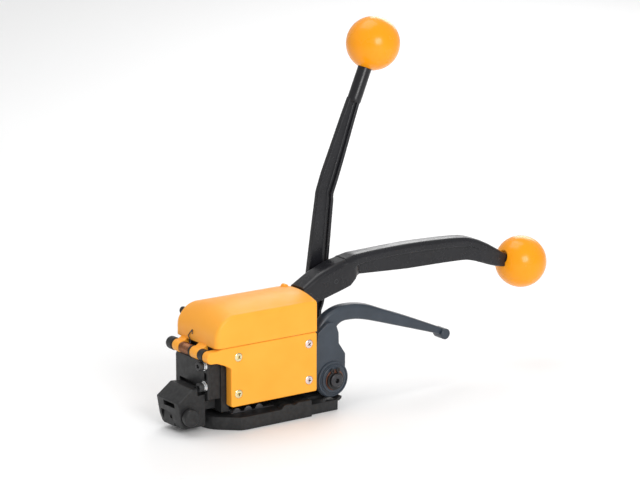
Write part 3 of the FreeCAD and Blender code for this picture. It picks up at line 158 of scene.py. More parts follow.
def black_casting(name="black_casting", tone=1.0):
    """Blue-black phosphate on machined and cast steel: fine grain, paler worn grain tips."""
    f = Finish(name, (0.03, 0.03, 0.032), 0.5, specular=0.35)
    low, high = 0.011 * tone, 0.022 * tone
    f.colour(f.noise(300, 5), (0.35, (low, low * 1.02, low * 1.06)),
             (0.68, (high, high * 1.02, high * 1.06)))
    f.roughness(f.noise(160, 4), 0.4, 0.56)
    f.bump(f.noise(1400, 3), 0.22, 0.0001)
    return f.material


def slate_oxide():
    """Satin slate-blue lever and cheeks."""
    f = Finish("slate_oxide", (0.045, 0.06, 0.078), 0.38, coat=0.1, coat_rough=0.3)
    f.colour(f.noise(60, 4), (0.35, (0.020, 0.029, 0.042)), (0.7, (0.030, 0.041, 0.057)))
    f.roughness(f.noise(220, 4), 0.34, 0.48)
    f.bump(f.noise(1000, 3), 0.12, 0.0001)
    return f.material


def ground_steel(name="ground_steel", tint=(0.5, 0.5, 0.51), rough=0.3):
    """Ground steel with fine lines running along X."""
    f = Finish(name, tint, rough, metallic=1.0)
    lines = f.noise(700, 2, (0.05, 1, 1))
    f.colour(lines, (0.3, tuple(0.86 * c for c in tint)), (0.7, tuple(1.08 * c for c in tint)))
    f.roughness(lines, rough - 0.05, rough + 0.12)
    f.bump(lines, 0.1, 0.00006)
    return f.material


def tinted_zinc(name, tint):
    """Bright plated steel, slightly clouded."""
    f = Finish(name, tint, 0.2, metallic=1.0)
    f.colour(f.noise(500, 3), (0.3, tuple(0.9 * c for c in tint)), (0.7, tint))
    f.roughness(f.noise(900, 3), 0.16, 0.32)
    return f.material


def bumper_rubber():
    """Black rubber with a dull, finely pitted skin."""
    f = Finish("bumper_rubber", (0.012, 0.012, 0.012), 0.75)
    f.colour(f.noise(700, 4), (0.35, (0.010, 0.010, 0.010)), (0.7, (0.02, 0.02, 0.02)))
    f.bump(f.noise(1800, 3), 0.4, 0.0001)
    return f.material


PAINT = orange_paint()
MOULDING = orange_moulding()
ENAMEL = black_enamel()
CASTING = black_casting()
# Socket-head screws: the casting finish made 1.9 times lighter, a painted highlight standing in for
# the light on their end faces.
LIT_SCREW_HEAD_CASTING = black_casting("screw_head_painted_highlight", 1.9)
SLATE = slate_oxide()
STEEL = ground_steel()
DARK_STEEL = ground_steel("oiled_steel", (0.075, 0.075, 0.08), 0.4)
DIE_STEEL = ground_steel("die_steel", (0.24, 0.24, 0.25), 0.35)
ZINC = tinted_zinc("bright_zinc", (0.82, 0.83, 0.84))
YELLOW_ZINC = tinted_zinc("yellow_zinc", (0.86, 0.76, 0.45))
ROSE_ZINC = tinted_zinc("rose_zinc", (0.85, 0.72, 0.68))
COPPERED = ground_steel("coppered_spring", (0.30, 0.14, 0.075), 0.34)
BRONZE = ground_steel("sintered_bronze", (0.20, 0.09, 0.06), 0.42)
RUBBER = bumper_rubber()


# ------------------------------------------------------------------ mesh helpers
def mesh_piece(name, points, faces, material, body, slot, replaces=(), sharp=32):
    """Object from points in millimetres and faces, riding on a body."""
    mesh = bpy.data.meshes.new(name)
    mesh.from_pydata((np.asarray(points) * MM).tolist(), [], faces)
    mesh.validate()
    mesh.update()
    mesh.shade_smooth()
    mesh.set_sharp_from_angle(angle=math.radians(sharp))
    thing = bpy.data.objects.new(name, mesh)
    bpy.context.scene.collection.objects.link(thing)
    thing.data.materials.append(material)
    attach(thing, body)
    if replaces:
        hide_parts(*replaces)
    return thing


def grid_faces(rows, ring, start=0, closed_rows=False):
    """Quads between successive rings of equal size, each ring closed on itself."""
    first = np.arange(rows if closed_rows else rows - 1)[:, None] * ring
    along = np.arange(ring)[None, :]
    nxt = (along + 1) % ring
    step = (first + ring) % (rows * ring)
    quads = np.stack([first + along, first + nxt, step + nxt, step + along], axis=-1)
    return (quads.reshape(-1, 4) + start).tolist()


def shell(rings):
    """Closed surface through rings (rows, points, 3), flat-capped at both ends.

    Faces point outwards when each ring turns clockwise as seen from the side the rows move to.
    """
    rows, ring = rings.shape[:2]
    faces = grid_faces(rows, ring)
    faces.append(list(range(ring))[::-1])
    faces.append(list(range((rows - 1) * ring, rows * ring)))
    return rings.reshape(-1, 3), faces


def turn_out(points, faces):
    """Turns every face over if the closed surface has a negative volume.

    Volume is a sixth of the sum over triangle fans of a . (b x c).
    """
    total = 0.0
    points = np.asarray(points, float)
    for face in faces:
        a = points[face[0]]
        b = points[face[1:-1]]
        c = points[face[2:]]
        total += np.einsum("j,ij->", a, np.cross(b, c))
    return faces if total > 0 else [face[::-1] for face in faces]


def join(parts):
    """One point list and face list from several closed surfaces, all facing outwards."""
    points, faces, start = [], [], 0
    for part_points, part_faces in parts:
        part_points = np.asarray(part_points, float)
        for face in turn_out(part_points, part_faces):
            faces.append([i + start for i in face])
        points.append(part_points)
        start += len(part_points)
    return np.concatenate(points), faces


NEARLY_STRAIGHT = 1.56
SIDE_SHARE = 0.48


def rounded(corners, steps=6, inwards=0.0):
    """Closed outline through (x, z, radius) corners, moved inwards by a distance.

    Each corner moves along (n1 + n2) / (1 + n1 . n2), where n1 and n2 are the inward normals
    of its two sides.  A corner with a radius becomes an arc that touches both sides at
    radius / tan(half the inner angle) from it; the arc's radius shrinks by the distance on an
    outer corner and grows by it on an inner one.  An arc takes at most SIDE_SHARE of a side, and
    a corner whose half angle is past NEARLY_STRAIGHT is left as a short straight run.
    """
    corners = np.array([tuple(c) if len(c) == 3 else (*c, 0.0) for c in corners], float)
    spots, radii = corners[:, :2], corners[:, 2]
    ahead = np.roll(spots, -1, 0) - spots
    ahead /= np.linalg.norm(ahead, axis=1, keepdims=True)
    behind = np.roll(ahead, 1, 0)
    area = np.sum(spots[:, 0] * np.roll(spots[:, 1], -1)
                  - np.roll(spots[:, 0], -1) * spots[:, 1])
    side = 1.0 if area > 0 else -1.0
    n1 = side * np.stack([-behind[:, 1], behind[:, 0]], 1)
    n2 = side * np.stack([-ahead[:, 1], ahead[:, 0]], 1)
    lean = np.maximum(1 + np.einsum("ij,ij->i", n1, n2), 0.3)
    spots = spots + (n1 + n2) / lean[:, None] * inwards
    turn = side * (behind[:, 0] * ahead[:, 1] - behind[:, 1] * ahead[:, 0])
    out = []
    for i, here in enumerate(spots):
        if radii[i] <= 0:
            out.append(here)
            continue
        before, after = spots[i - 1] - here, spots[(i + 1) % len(spots)] - here
        la, lb = np.linalg.norm(before), np.linalg.norm(after)
        u, v = before / la, after / lb
        half = 0.5 * math.acos(float(np.clip(u @ v, -1, 1)))
        if half > NEARLY_STRAIGHT:
            out.extend(here + v * 0.2 * np.linspace(-1, 1, steps + 1)[:, None])
            continue
        radius = max(radii[i] - inwards, 0.08) if turn[i] > 0 else radii[i] + inwards
        reach = min(radius / math.tan(half), SIDE_SHARE * la, SIDE_SHARE * lb)
        size = reach * math.tan(half)
        centre = here + (u + v) / np.linalg.norm(u + v) * (size / math.sin(half))
        start, end = here + u * reach - centre, here + v * reach - centre
        a0 = math.atan2(start[1], start[0])
        sweep = (math.atan2(end[1], end[0]) - a0 + math.pi) % (2 * math.pi) - math.pi
        angles = a0 + sweep * np.linspace(0, 1, steps + 1)
        out.extend(centre + size * np.stack([np.cos(angles), np.sin(angles)], 1))
    return np.array(out)


def slab(corners, low, high, edge=0.6, axis="y", steps=4, low_edge=None, arc=6):
    """Plate of an outline between low and high along an axis, with rounded rims.

    At angle t of a rim the outline is moved in by edge (1 - sin t) and the height has still
    edge (1 - cos t) to go, so the rim is a quarter circle.
    """
    low_edge = edge if low_edge is None else low_edge
    rows = []
    for size, level, way in ((low_edge, low, 1), (edge, high, -1)):
        turns = np.linspace(0, math.pi / 2, steps + 1)[::way]
        part = [(size * (1 - math.sin(t)), level + way * size * (1 - math.cos(t))) for t in turns]
        if size > 0.05:
            flat = (size + 0.2, level)
            part = [flat] + part if way > 0 else part + [flat]
        else:
            part = [(0.0, level)]
        rows += part
    rings = []
    for inwards, level in rows:
        ring = rounded(corners, arc, inwards)
        high_axis = np.full(len(ring), level)
        order = {"y": (ring[:, 0], high_axis, ring[:, 1]),
                 "z": (ring[:, 0], ring[:, 1], high_axis),
                 "x": (high_axis, ring[:, 0], ring[:, 1])}[axis]
        rings.append(np.stack(order, 1))
    return shell(np.array(rings))


def turned(profile, centre, axis="y", count=64):
    """Surface turned from (radius, height) points round an axis through centre.

    A point at angle a is centre + radius (cos a, sin a) across the axis + height along it.
    Ends of zero radius close in a single point; other ends get a flat cap.
    """
    profile = np.asarray(profile, float)
    angles = np.linspace(0, 2 * math.pi, count, endpoint=False)
    poles = [profile[0, 0] < 1e-6, profile[-1, 0] < 1e-6]
    body = profile[int(poles[0]):len(profile) - int(poles[1])]
    radius, height = body[:, 0][:, None], body[:, 1][:, None] + 0 * angles[None, :]
    a, b = radius * np.cos(angles), radius * np.sin(angles)

    def lay(first, second, along):
        """Puts two directions across the axis and one along it into x, y, z order."""
        parts = {"y": (first, along, second), "z": (first, second, along),
                 "x": (along, first, second)}[axis]
        return np.stack(parts, -1) + np.asarray(centre, float)

    points = lay(a, b, height).reshape(-1, 3)
    rows = len(body)
    faces = grid_faces(rows, count)
    for end, pole in enumerate(poles):
        base = 0 if end == 0 else (rows - 1) * count
        ring = list(range(base, base + count))
        if pole:
            tip = lay(np.zeros(1), np.zeros(1), profile[-end, 1:2])
            points = np.concatenate([points, tip.reshape(1, 3)])
            top = len(points) - 1
            fan = [[ring[i], ring[(i + 1) % count], top] for i in range(count)]
            faces += fan if end else [f[::-1] for f in fan]
        else:
            faces.append(ring if end else ring[::-1])
    return points, faces


def rod(radius, low, high, centre, axis="y", edge=0.5, count=48):
    """Turned rod with rounded ends, from low to high along its axis."""
    turns = np.linspace(0, math.pi / 2, 5)
    start = [(radius - edge * (1 - math.sin(t)), low + edge * (1 - math.cos(t))) for t in turns]
    end = [(r, high - (h - low)) for r, h in start[::-1]]
    flat = max(radius - edge - 0.2, 0.01)
    return turned([(0, low), (flat, low)] + start + end + [(flat, high), (0, high)],
                  centre, axis, count)


def ring_wall(inner, outer, low, high, centre, axis="y", edge=0.3, count=64):
    """Turned ring: a closed rectangular profile with bevelled outer corners."""
    profile = [(inner, low), (outer - edge, low), (outer, low + edge), (outer, high - edge),
               (outer - edge, high), (inner, high)]
    angles = np.linspace(0, 2 * math.pi, count, endpoint=False)
    r = np.array([p[0] for p in profile])[:, None]
    h = np.array([p[1] for p in profile])[:, None] + 0 * angles
    a, b = r * np.cos(angles), r * np.sin(angles)
    parts = {"y": (a, h, b), "z": (a, b, h), "x": (h, a, b)}[axis]
    points = (np.stack(parts, -1) + np.asarray(centre, float)).reshape(-1, 3)
    return points, grid_faces(len(profile), count, closed_rows=True)


def tube(path, radius, count=12):
    """Round wire of one radius along a path, with flat ends.

    Each ring lies square to the path: its two directions are carried on from ring to ring by
    taking away the part that lies along the new direction.
    """
    path = np.asarray(path, float)
    ahead = np.gradient(path, axis=0)
    ahead /= np.linalg.norm(ahead, axis=1, keepdims=True)
    side = np.cross(ahead[0], (0.3, 0.9, 0.2))
    rings = []
    angles = np.linspace(0, 2 * math.pi, count, endpoint=False)
    for spot, along in zip(path, ahead):
        side = side - along * (side @ along)
        side /= np.linalg.norm(side)
        up = np.cross(along, side)
        rings.append(spot + radius * (np.cos(angles)[:, None] * side
                                      + np.sin(angles)[:, None] * up))
    return shell(np.array(rings))


def cut_away(thing, tools):
    """Cuts closed surfaces out of a piece, then bakes the result into its mesh."""
    points, faces = join(tools)
    mesh = bpy.data.meshes.new(thing.name + "_tool")
    mesh.from_pydata((points * MM).tolist(), [], faces)
    tool = bpy.data.objects.new(thing.name + "_tool", mesh)
    bpy.context.scene.collection.objects.link(tool)
    modifier = thing.modifiers.new("cut", "BOOLEAN")
    modifier.operation = "DIFFERENCE"
    modifier.solver = "EXACT"
    modifier.object = tool
    bpy.context.view_layer.update()
    graph = bpy.context.evaluated_depsgraph_get()
    made = bpy.data.meshes.new_from_object(thing.evaluated_get(graph))
    thing.modifiers.clear()
    old = thing.data
    thing.data = made
    made.name = thing.name
    bpy.data.meshes.remove(old)
    bpy.data.objects.remove(tool)
    made.shade_smooth()
    made.set_sharp_from_angle(angle=math.radians(32))
    return thing


def smooth_run(values, at):
    """Values at fractional indices along a list, by a cubic through the two nearest.

    With t the way from value 1 to value 2 and slopes half the distance between neighbours, it is
    (2t^3 - 3t^2 + 1) v1 + (t^3 - 2t^2 + t) m1 + (3t^2 - 2t^3) v2 + (t^3 - t^2) m2.
    """
    values = np.asarray(values, float)
    slopes = np.gradient(values)
    i = np.minimum(np.floor(at).astype(int), len(values) - 2)
    t = at - i
    return ((2 * t**3 - 3 * t**2 + 1) * values[i] + (t**3 - 2 * t**2 + t) * slopes[i]
            + (3 * t**2 - 2 * t**3) * values[i + 1] + (t**3 - t**2) * slopes[i + 1])


# ------------------------------------------------------------------ covers
def side_cover():
    """Flat cover plate whose nose wraps round the hinge pin, with four countersinks."""
    corners = [
        (-51, 21.5, 2.4), (42, 21.5, 2.2), (42, 77, 2.2), (-60, 77, 5), (-66, 75.6, 6),
        (-76.4, 75.6, 5.1), (-76.4, 65.0, 5.1), (-66, 64.6, 3), (-58, 61.5, 2.5),
        (-51, 57.5, 2.5)]
    plate = slab(corners, -33.5, -24.1, edge=1.6, low_edge=1.2, steps=5, arc=8)
    piece = mesh_piece("side_cover_plate", *join([plate]), PAINT, "base", "orange_paint",
                       ["side_cover"])
    sinks = [turned([(0, -35), (5.0, -35), (4.2, -33.2), (2.1, -31.2), (2.1, -23), (0, -23)],
                    (x, 0, z), count=40) for x, z in SCREW_SPOTS]
    return cut_away(piece, sinks)


def cross_screws():
    """Countersunk heads, slightly domed, with a cross recess of four flared wings."""
    for index, (x, z) in enumerate(SCREW_SPOTS):
        top = -33.35
        dome = [(0, top - 0.28), (1.4, top - 0.24), (2.8, top - 0.12), (3.7, top + 0.02),
                (3.95, top + 0.2), (2.0, top + 2.1), (2.0, top + 9), (0, top + 9)]
        head = turned(dome, (x, 0, z), count=40)
        tint = YELLOW_ZINC if x < 0 else ROSE_ZINC
        piece = mesh_piece("cover_screw_%d" % index, *join([head]), tint, "base", "zinc",
                           ["side_cover_screws"] if index == 0 else ())
        lean = math.radians((12, 50, 74, 31)[index])
        wings = []
        for quarter in range(2):
            turn = lean + quarter * math.pi / 2
            ca, sa = math.cos(turn), math.sin(turn)
            long, wide = 2.1, 0.5
            base = np.array([(-long, -wide), (long, -wide), (long, wide), (-long, wide)])
            rows = []
            for level, size in ((top - 0.6, 1.0), (top + 2.6, 0.6)):
                flat = base * np.array([size, 1.0])
                rows.append(np.stack([x + flat[:, 0] * ca - flat[:, 1] * sa,
                                      np.full(4, level),
                                      z + flat[:, 0] * sa + flat[:, 1] * ca], 1))
            wings.append(shell(np.array(rows)))
        cut_away(piece, wings[:1])
        cut_away(piece, wings[1:])


def lid_surface(half, top, front, rear, low, crown, nose_radius, near_corner, far_corner):
    """Crowned box lid: rings along its length, each an arch across the width.

    The shoulder height follows a quarter circle at the nose and the width a smaller one at the
    front corners.  Between the shoulders the roof rises by crown (1 - (y / half)^2).
    """
    turns = np.linspace(0, math.pi / 2, 16)
    nose = front + nose_radius * (1 - np.cos(turns))
    shoulder = top - nose_radius * (1 - np.sin(turns))
    along = np.concatenate([nose, np.linspace(nose[-1], rear, 12)[1:]])
    shoulder = np.concatenate([shoulder, np.full(11, top)])
    near, far = [half - corner * (1 - np.sqrt(1 - (1 - np.clip((along - front) / corner, 0, 1))
                                              ** 2)) for corner in (near_corner, far_corner)]
    bulge = crown * np.sqrt(np.clip((along - front) / (1.6 * nose_radius), 0, 1))
    rings = []
    soft = 3.2
    fillet = np.linspace(0, math.pi / 2, 7)[:-1]
    for x, z, n, f, c in zip(along, shoulder, near, far, bulge):
        left = np.stack([-n + soft * (1 - np.cos(fillet)), z - soft * (1 - np.sin(fillet))], 1)
        right = np.stack([f - soft * (1 - np.cos(fillet)), z - soft * (1 - np.sin(fillet))], 1)
        flat = np.linspace(0, 1, 25)
        roof = np.stack([-n + soft + (n + f - 2 * soft) * flat,
                         z + c * (1 - (2 * flat - 1) ** 2)], 1)
        middle = 0.5 * (low + z - soft)
        ring = np.concatenate([[(-n, low), (-n, middle)], left, roof, right[::-1],
                               [(f, middle), (f, low)]])
        rings.append(np.stack([np.full(len(ring), x), ring[:, 0], ring[:, 1]], 1))
    return np.array(rings)


def top_cover():
    """Hollow lid: crowned skin, rear notch for the lever arm, sloping cut at its near rear."""
    skin = shell(lid_surface(33.0, 106.2, LID_FRONT, LID_REAR, LID_LOW, 5.0, 20.5,
                             5.4, 2.2))
    piece = mesh_piece("top_cover_shell", *join([skin]), PAINT, "cover", "orange_paint",
                       ["top_cover"], sharp=26)
    void = lid_surface(30.5, 103.7, LID_FRONT + 2.5, LID_REAR - 2.5, LID_LOW - 1, 4.6,
                       18.5, 3.0, 1.0)
    cut_away(piece, [shell(void)])
    notch = slab([(-14, 70), (24, 70), (24, 103.8, 3), (-14, 103.8, 3)], 38, 44, edge=0, axis="x")
    cut_away(piece, [notch])
    corner = []
    for x, lift in ((31, 7.5), (44, 0)):
        flat = np.array([(-13, 111.4), (-34, 103.6), (-34, 125), (-13, 125)])
        corner.append(np.stack([np.full(4, x), flat[:, 0], flat[:, 1] + lift], 1))
    cut_away(piece, [shell(np.array(corner))])
    return piece


side_cover()
cross_screws()
top_cover()


def lid_details():
    """Hinge knuckles of the lid with their webs, and the raised tab at its rear edge."""
    parts = []
    for low, high in ((-16.1, -4.0), (15.5, 25.0)):
        parts.append(rod(5.5, low, high, HINGE_SPOT, edge=0.5))
        web = [(-73, 74), (-66, 72), (-64, 72), (-64, 78), (-66.1, 78), (-69.5, 75.9)]
        parts.append(slab(web, low, high, edge=0.4))
    tab = [(36, 105), (42, 105), (42, 112.2, 2.4), (37, 112.4, 2.4)]
    parts.append(slab(tab, 11.5, 18, edge=1.2))
    mesh_piece("lid_knuckles", *join(parts), PAINT, "cover", "orange_paint")
    mesh_piece("lid_bumper", *join([rod(3.5, 31.5, 39, (-56, 0, 97), edge=1.0)]), RUBBER, "cover",
               "black_rubber", ["cover_bumper"])


lid_details()


# ------------------------------------------------------------------ hinge
def hinge_parts():
    """Domed hinge pin, its collar, and the wound spring with one leg up the lid's nose."""
    dome = [(0, -31), (3.0, -31), (3.0, 25.5), (5.0, 25.6), (5.0, 26.6), (5.9, 26.8), (5.9, 33)]
    turns = np.linspace(0.15, math.pi / 2, 9)
    dome += [(5.9 * math.cos(t), 33 + 5.2 * math.sin(t)) for t in turns[:-1]] + [(0, 38.2)]
    mesh_piece("hinge_pin_domed", *join([turned(dome, HINGE_SPOT)]), CASTING, "base",
               "black_phosphate", ["hinge_pin"])
    collar = [ring_wall(3.1, 5.7, -3.7, -1.9, HINGE_SPOT),
              ring_wall(3.1, 5.2, -1.8, -0.6, HINGE_SPOT)]
    mesh_piece("hinge_collar", *join(collar), CASTING, "base", "black_phosphate")
    turns_count = 8.5
    t = np.linspace(0, 1, 260)
    angle = math.radians(70) + 2 * math.pi * turns_count * t
    coil = np.stack([-71 + 4.4 * np.cos(angle), 0.2 + 14.4 * t, 70.3 + 4.4 * np.sin(angle)], 1)
    mesh_piece("cover_spring_coil", *join([tube(coil, 0.78, 10)]), COPPERED, "base",
               "spring_steel", ["cover_spring"])
    leg = np.array([(-70.2, 5.8, 74.4), (-68.6, 6.2, 76.8), (-67.2, 8.8, 78.2),
                    (-66.9, 12.0, 80.2), (-66.8, 11.8, 81.6), (-66.7, 8.0, 85.6),
                    (-66.6, 6.2, 87.4), (-66.8, 5.7, 86.2), (-66.8, 5.8, 83.6)])
    fine = np.linspace(0, 8, 65)
    leg = np.stack([smooth_run(leg[:, k], fine) for k in range(3)], 1)
    mesh_piece("cover_spring_leg", *join([tube(leg, 0.42, 8)]), DARK_STEEL, "cover",
               "spring_steel")


hinge_parts()


# ------------------------------------------------------------------ base
def base_plate():
    """Base plate with rounded near front corner, raised rail, low tail and rear hook."""
    plan = [(-66, -17, 24), (-43, -37, 2), (-37, -38), (64.5, -38), (67, 36, 3), (-66, 36, 14)]
    body = slab(plan, 0, 12, edge=0.9, axis="z", low_edge=0.6, arc=24)
    piece = mesh_piece("base_body", *join([body]), CASTING, "base", "black_phosphate",
                       ["base_plate"])
    tail_side = slab([(33, -45), (75, -45), (75, -34), (33, -34)], -3, 30, edge=0, axis="z")
    tail_top = slab([(33, 9.5), (75, 9.5), (75, 20), (33, 20)], -45, -20, edge=0)
    tail_rear = slab([(64, 9.5), (75, 9.5), (75, 20), (64, 20)], -21, 45, edge=0)
    tail_far = slab([(44.4, 9.5), (75, 9.5), (75, 20), (44.4, 20)], 24.8, 45, edge=0)
    for cutter in (tail_side, tail_top, tail_rear, tail_far):
        cut_away(piece, [cutter])
    rail = [(-1.5, 11), (33, 11), (33, 15.5, 0.8), (18, 15.5, 0.8), (16.5, 14.2, 0.4),
            (12.5, 14.2, 0.4), (10.5, 15.5, 0.8), (4, 15.5, 1.2)]
    hook = [(64, 8), (66.8, 8), (69.6, 9.8, 0.7), (70, 12.2, 0.7), (68.5, 12.4, 0.7), (64, 9.6)]
    parts = [slab(rail, -37.8, -30, edge=0.5), slab(hook, -33, 36, edge=0.3)]
    mesh_piece("base_rail_and_hook", *join(parts), CASTING, "base", "black_phosphate")


base_plate()


# ------------------------------------------------------------------ front plate and guide
def front_plate():
    """Front plate with a long slot across it and a short upright slot beside its near edge."""
    plan = [(-23.5, 29, 0.9), (29, 29, 0.9), (29, 63.5, 3), (-23.5, 63.5, 1.2)]
    plate = mesh_piece("front_plate_body", *join([slab(plan, -70, -66, edge=0.6, axis="x")]),
                       CASTING, "base", "black_phosphate", ["front_plate"])
    slot = [(-1, 37.8, 1.6), (23, 37.8, 1.6), (23, 41.4, 1.6), (-1, 41.4, 1.6)]
    short_slot = [(-22, 46.8, 1.2), (-18, 46.8, 1.2), (-18, 54, 1.2), (-22, 54, 1.2)]
    for opening in (slot, short_slot):
        cut_away(plate, [slab(opening, -72, -64, edge=0, axis="x")])


def plate_screws():
    """Two washers, the outer one smaller, under each of two socket-head screws."""
    washers, heads = [], []
    for spot in PLATE_SCREW_SPOTS:
        washers.append(ring_wall(2.6, 5.0, -71.2, -70.02, spot, "x", 0.35, 40))
        washers.append(ring_wall(2.6, 4.2, -72.5, -71.25, spot, "x", 0.45, 40))
        heads.append(rod(4.2, -77.3, -72.55, spot, "x", edge=0.7, count=48))
    mesh_piece("plate_washers", *join(washers), ZINC, "base", "zinc", ["front_plate_washers"])
    # The heads take the lighter copy of the casting finish, a painted highlight on their end faces.
    screws = mesh_piece("plate_screws", *join(heads), LIT_SCREW_HEAD_CASTING, "base", "zinc",
                        ["front_plate_screws"])
    for _, y, z in PLATE_SCREW_SPOTS:
        hexagon = [(y + 2.2 * math.cos(a), z + 2.2 * math.sin(a))
                   for a in np.arange(6) * math.pi / 3 + 0.2]
        cut_away(screws, [slab(hexagon, -79, -73.6, edge=0, axis="x")])


def guide():
    """Guide block with its pocket, jaw seat and corner relief, and the tongue behind it."""
    outline = [(-93, 5, 1), (-70, 5, 1), (-70, 34, 1.2), (-71.5, 40, 5), (-84, 41, 1.4),
               (-99, 30, 1.4), (-96, 13, 1.2)]
    block = mesh_piece("guide_body", *join([slab(outline, -20, 16, edge=0.9)]), CASTING, "base",
                       "black_phosphate", ["guide_block"])
    pocket = slab([(-13, 24, 0.5), (5, 24, 0.5), (5, 28.5, 0.5), (-13, 28.5, 0.5)],
                  -101, -91, edge=0, axis="x")
    seat = slab([(-6.5, 2), (12, 2), (12, 18.5), (-6.5, 18.5)], -101, -88, edge=0, axis="x")
    relief = slab([(-30, 34), (-13, 34), (-13, 45), (-30, 45)], -78.4, -68, edge=0, axis="x")
    for cutter in (pocket, seat, relief):
        cut_away(block, [cutter])
    tongue = [(-71, 18), (-56, 18), (-56, 26), (-71, 26)]
    mesh_piece("guide_tongue", *join([slab(tongue, -14, 14, edge=0.3)]), CASTING, "base",
               "black_phosphate")


def guide_jaw():
    """Jaw set into the guide block, with a blind hole for its screw."""
    face = [(-6.2, 5.2, 0.5), (11.7, 5.2, 0.5), (11.7, 18.2, 0.5), (-6.2, 18.2, 0.5)]
    jaw = mesh_piece("guide_jaw_block", *join([slab(face, -94.5, -88.2, edge=0.5, axis="x")]),
                     CASTING, "base", "black_phosphate", ["guide_jaw"])
    cut_away(jaw, [rod(1.9, -96, -92.6, (0, -1.5, 13.5), "x", edge=0.05, count=24)])


def thumb_knob():
    """Turned knob with a crowned face on a plain stem."""
    stem = rod(3, -21, -8, KNOB_SPOT, edge=0.3)
    cap = turned([(0, -27.9), (3, -27.85), (5.6, -27.7), (7.2, -27.2), (7.8, -26.4), (8, -25.4),
                  (8, -22), (7.6, -21), (6.8, -20.6), (0, -20.5)], KNOB_SPOT, count=72)
    mesh_piece("thumb_knob", *join([cap, stem]), CASTING, "knob_body", "black_phosphate",
               ["guide_knob"])


front_plate()
plate_screws()
guide()
guide_jaw()
thumb_knob()


# ------------------------------------------------------------------ rocker and shaft end
def cheek_outline():
    """Cheek plate outline: pivot boss, lobe on top, waist and shaft boss."""
    lower = [(FEED_SPOT[0] + 17.4 * math.cos(a), FEED_SPOT[2] + 17.4 * math.sin(a))
             for a in np.linspace(math.radians(185), math.radians(312), 22)]
    upper = [(76.4, 36.5, 2), (76.5, 50.4, 2.5), (69.4, 61.2, 4), (69.2, 71, 3), (66.9, 77.6, 4),
             (62, 82, 3), (57, 81.6, 3), (45.6, 73.8, 1.2), (44.4, 61.5, 1.2), (34, 61.5, 6),
             (16.6, 61.4, 9), (16.6, 42.6, 9), (34, 42.5, 6), (44.4, 42.5, 1)]
    return lower + upper


def rocker_group():
    """Near cheek with stepped shaft boss, curved finger lever with a round tip, far cheek."""
    parts = [slab(cheek_outline(), -29.5, -24.5, edge=0.8)]
    boss = [(0, -25), (16.6, -25), (16.6, -30.4), (16.1, -31), (15.0, -31), (14.6, -30.4),
            (13.9, -30.4), (13.6, -31.0), (12.6, -31.1), (12.6, -32.0), (12.0, -32.5),
            (0, -32.5)]
    mesh_piece("rocker_shaft_boss", *join([turned(boss, FEED_SPOT, count=96)]), SLATE,
               "rocker_arm", "slate_steel")
    under = np.array([(57, 55), (66, 58), (70, 72), (77, 78.2), (88, 78.9), (100, 77.2),
                      (115, 73), (140, 65), (165, 57), (185, 50.4), (196, 46.2)])
    over = np.array([(47, 62), (49, 74), (58, 85.5), (69, 91.4), (80, 93.6), (94, 93),
                     (108, 90), (124, 83.6), (147, 74.6), (172, 64), (196, 53.6)])
    thick = np.interp(np.arange(11), [0, 3, 8, 10], [6.0, 6.0, 5.2, 4.4])
    fine = np.linspace(0, 10, 61)
    under, over = [np.stack([smooth_run(edge[:, k], fine) for k in (0, 1)], 1)
                   for edge in (under, over)]
    thick = smooth_run(thick, fine)
    angles = np.linspace(0, 2 * math.pi, 40, endpoint=False)
    across = np.sign(np.cos(angles)) * np.abs(np.cos(angles)) ** 0.45
    high = np.sign(np.sin(angles)) * np.abs(np.sin(angles)) ** 0.45
    middle, reach = (under + over) / 2, (over - under) / 2
    rings = np.stack([middle[:, :1] + reach[:, :1] * high, -18 + thick[:, None] * across,
                      middle[:, 1:] + reach[:, 1:] * high], -1)
    parts.append(shell(rings))
    parts.append(rod(5.2, -25, -11, (196, 0, 48.5), edge=1.0))
    mesh_piece("rocker_casting", *join(parts), SLATE, "rocker_arm", "slate_steel", ["rocker"])
    far = slab(cheek_outline(), 27.5, 32.5, edge=0.8)
    mesh_piece("far_cheek_plate", *join([far]), SLATE, "rocker_arm", "slate_steel",
               ["far_cheek"])


rocker_group()


def shaft_end():
    """Turned shaft end with centre hole, retaining ring with eyed ears and bronze washer."""
    shaft = [(0, -35.0), (1.2, -35.0), (2.3, -37.6), (5.6, -37.7), (6.5, -36.9), (6.5, 36.4),
             (6.0, 37.0), (0, 37.0)]
    mesh_piece("feed_shaft_turned", *join([turned(shaft, FEED_SPOT)]), DARK_STEEL,
               "feed_train", "steel", ["feed_shaft"])
    washer = ring_wall(6.55, 9.7, -33.5, -32.6, FEED_SPOT)
    mesh_piece("bronze_washer", *join([washer]), BRONZE, "feed_train", "bronze",
               ["thrust_washer"])
    clips = []
    for low in (-34.9, 33.0):
        arc = np.linspace(math.radians(108), math.radians(432), 54)
        inner = np.stack([6.5 * np.cos(arc), 6.5 * np.sin(arc)], 1)
        wide = 8.6 + 0.5 * np.cos(arc - math.radians(270))
        outer = np.stack([wide * np.cos(arc), wide * np.sin(arc)], 1)
        outline = np.concatenate([inner, outer[::-1]]) + FEED_SPOT[::2]
        clips.append(slab(outline, low, low + 1.1, edge=0.15, steps=2))
        for side in (-1, 1):
            spot = (FEED_SPOT[0] + side * 3.1, 0, FEED_SPOT[2] + 9.2)
            clips.append(ring_wall(0.75, 2.1, low, low + 1.1, spot, count=24))
    mesh_piece("retaining_rings", *join(clips), CASTING, "feed_train", "black_phosphate",
               ["circlips"])


shaft_end()


# ------------------------------------------------------------------ levers
def beam(stations, section):
    """Bar through stations (x, y, z, dx, dz): each section point (a, b) lies at
    station + a along the lever's front-to-back direction + b along Y."""
    rings = []
    for (x, y, z, dx, dz), pts in zip(stations, section):
        size = math.hypot(dx, dz)
        ux, uz = dx / size, dz / size
        rings.append(np.stack([x + pts[:, 0] * ux, y + pts[:, 1], z + pts[:, 0] * uz], 1))
    return shell(np.array(rings))


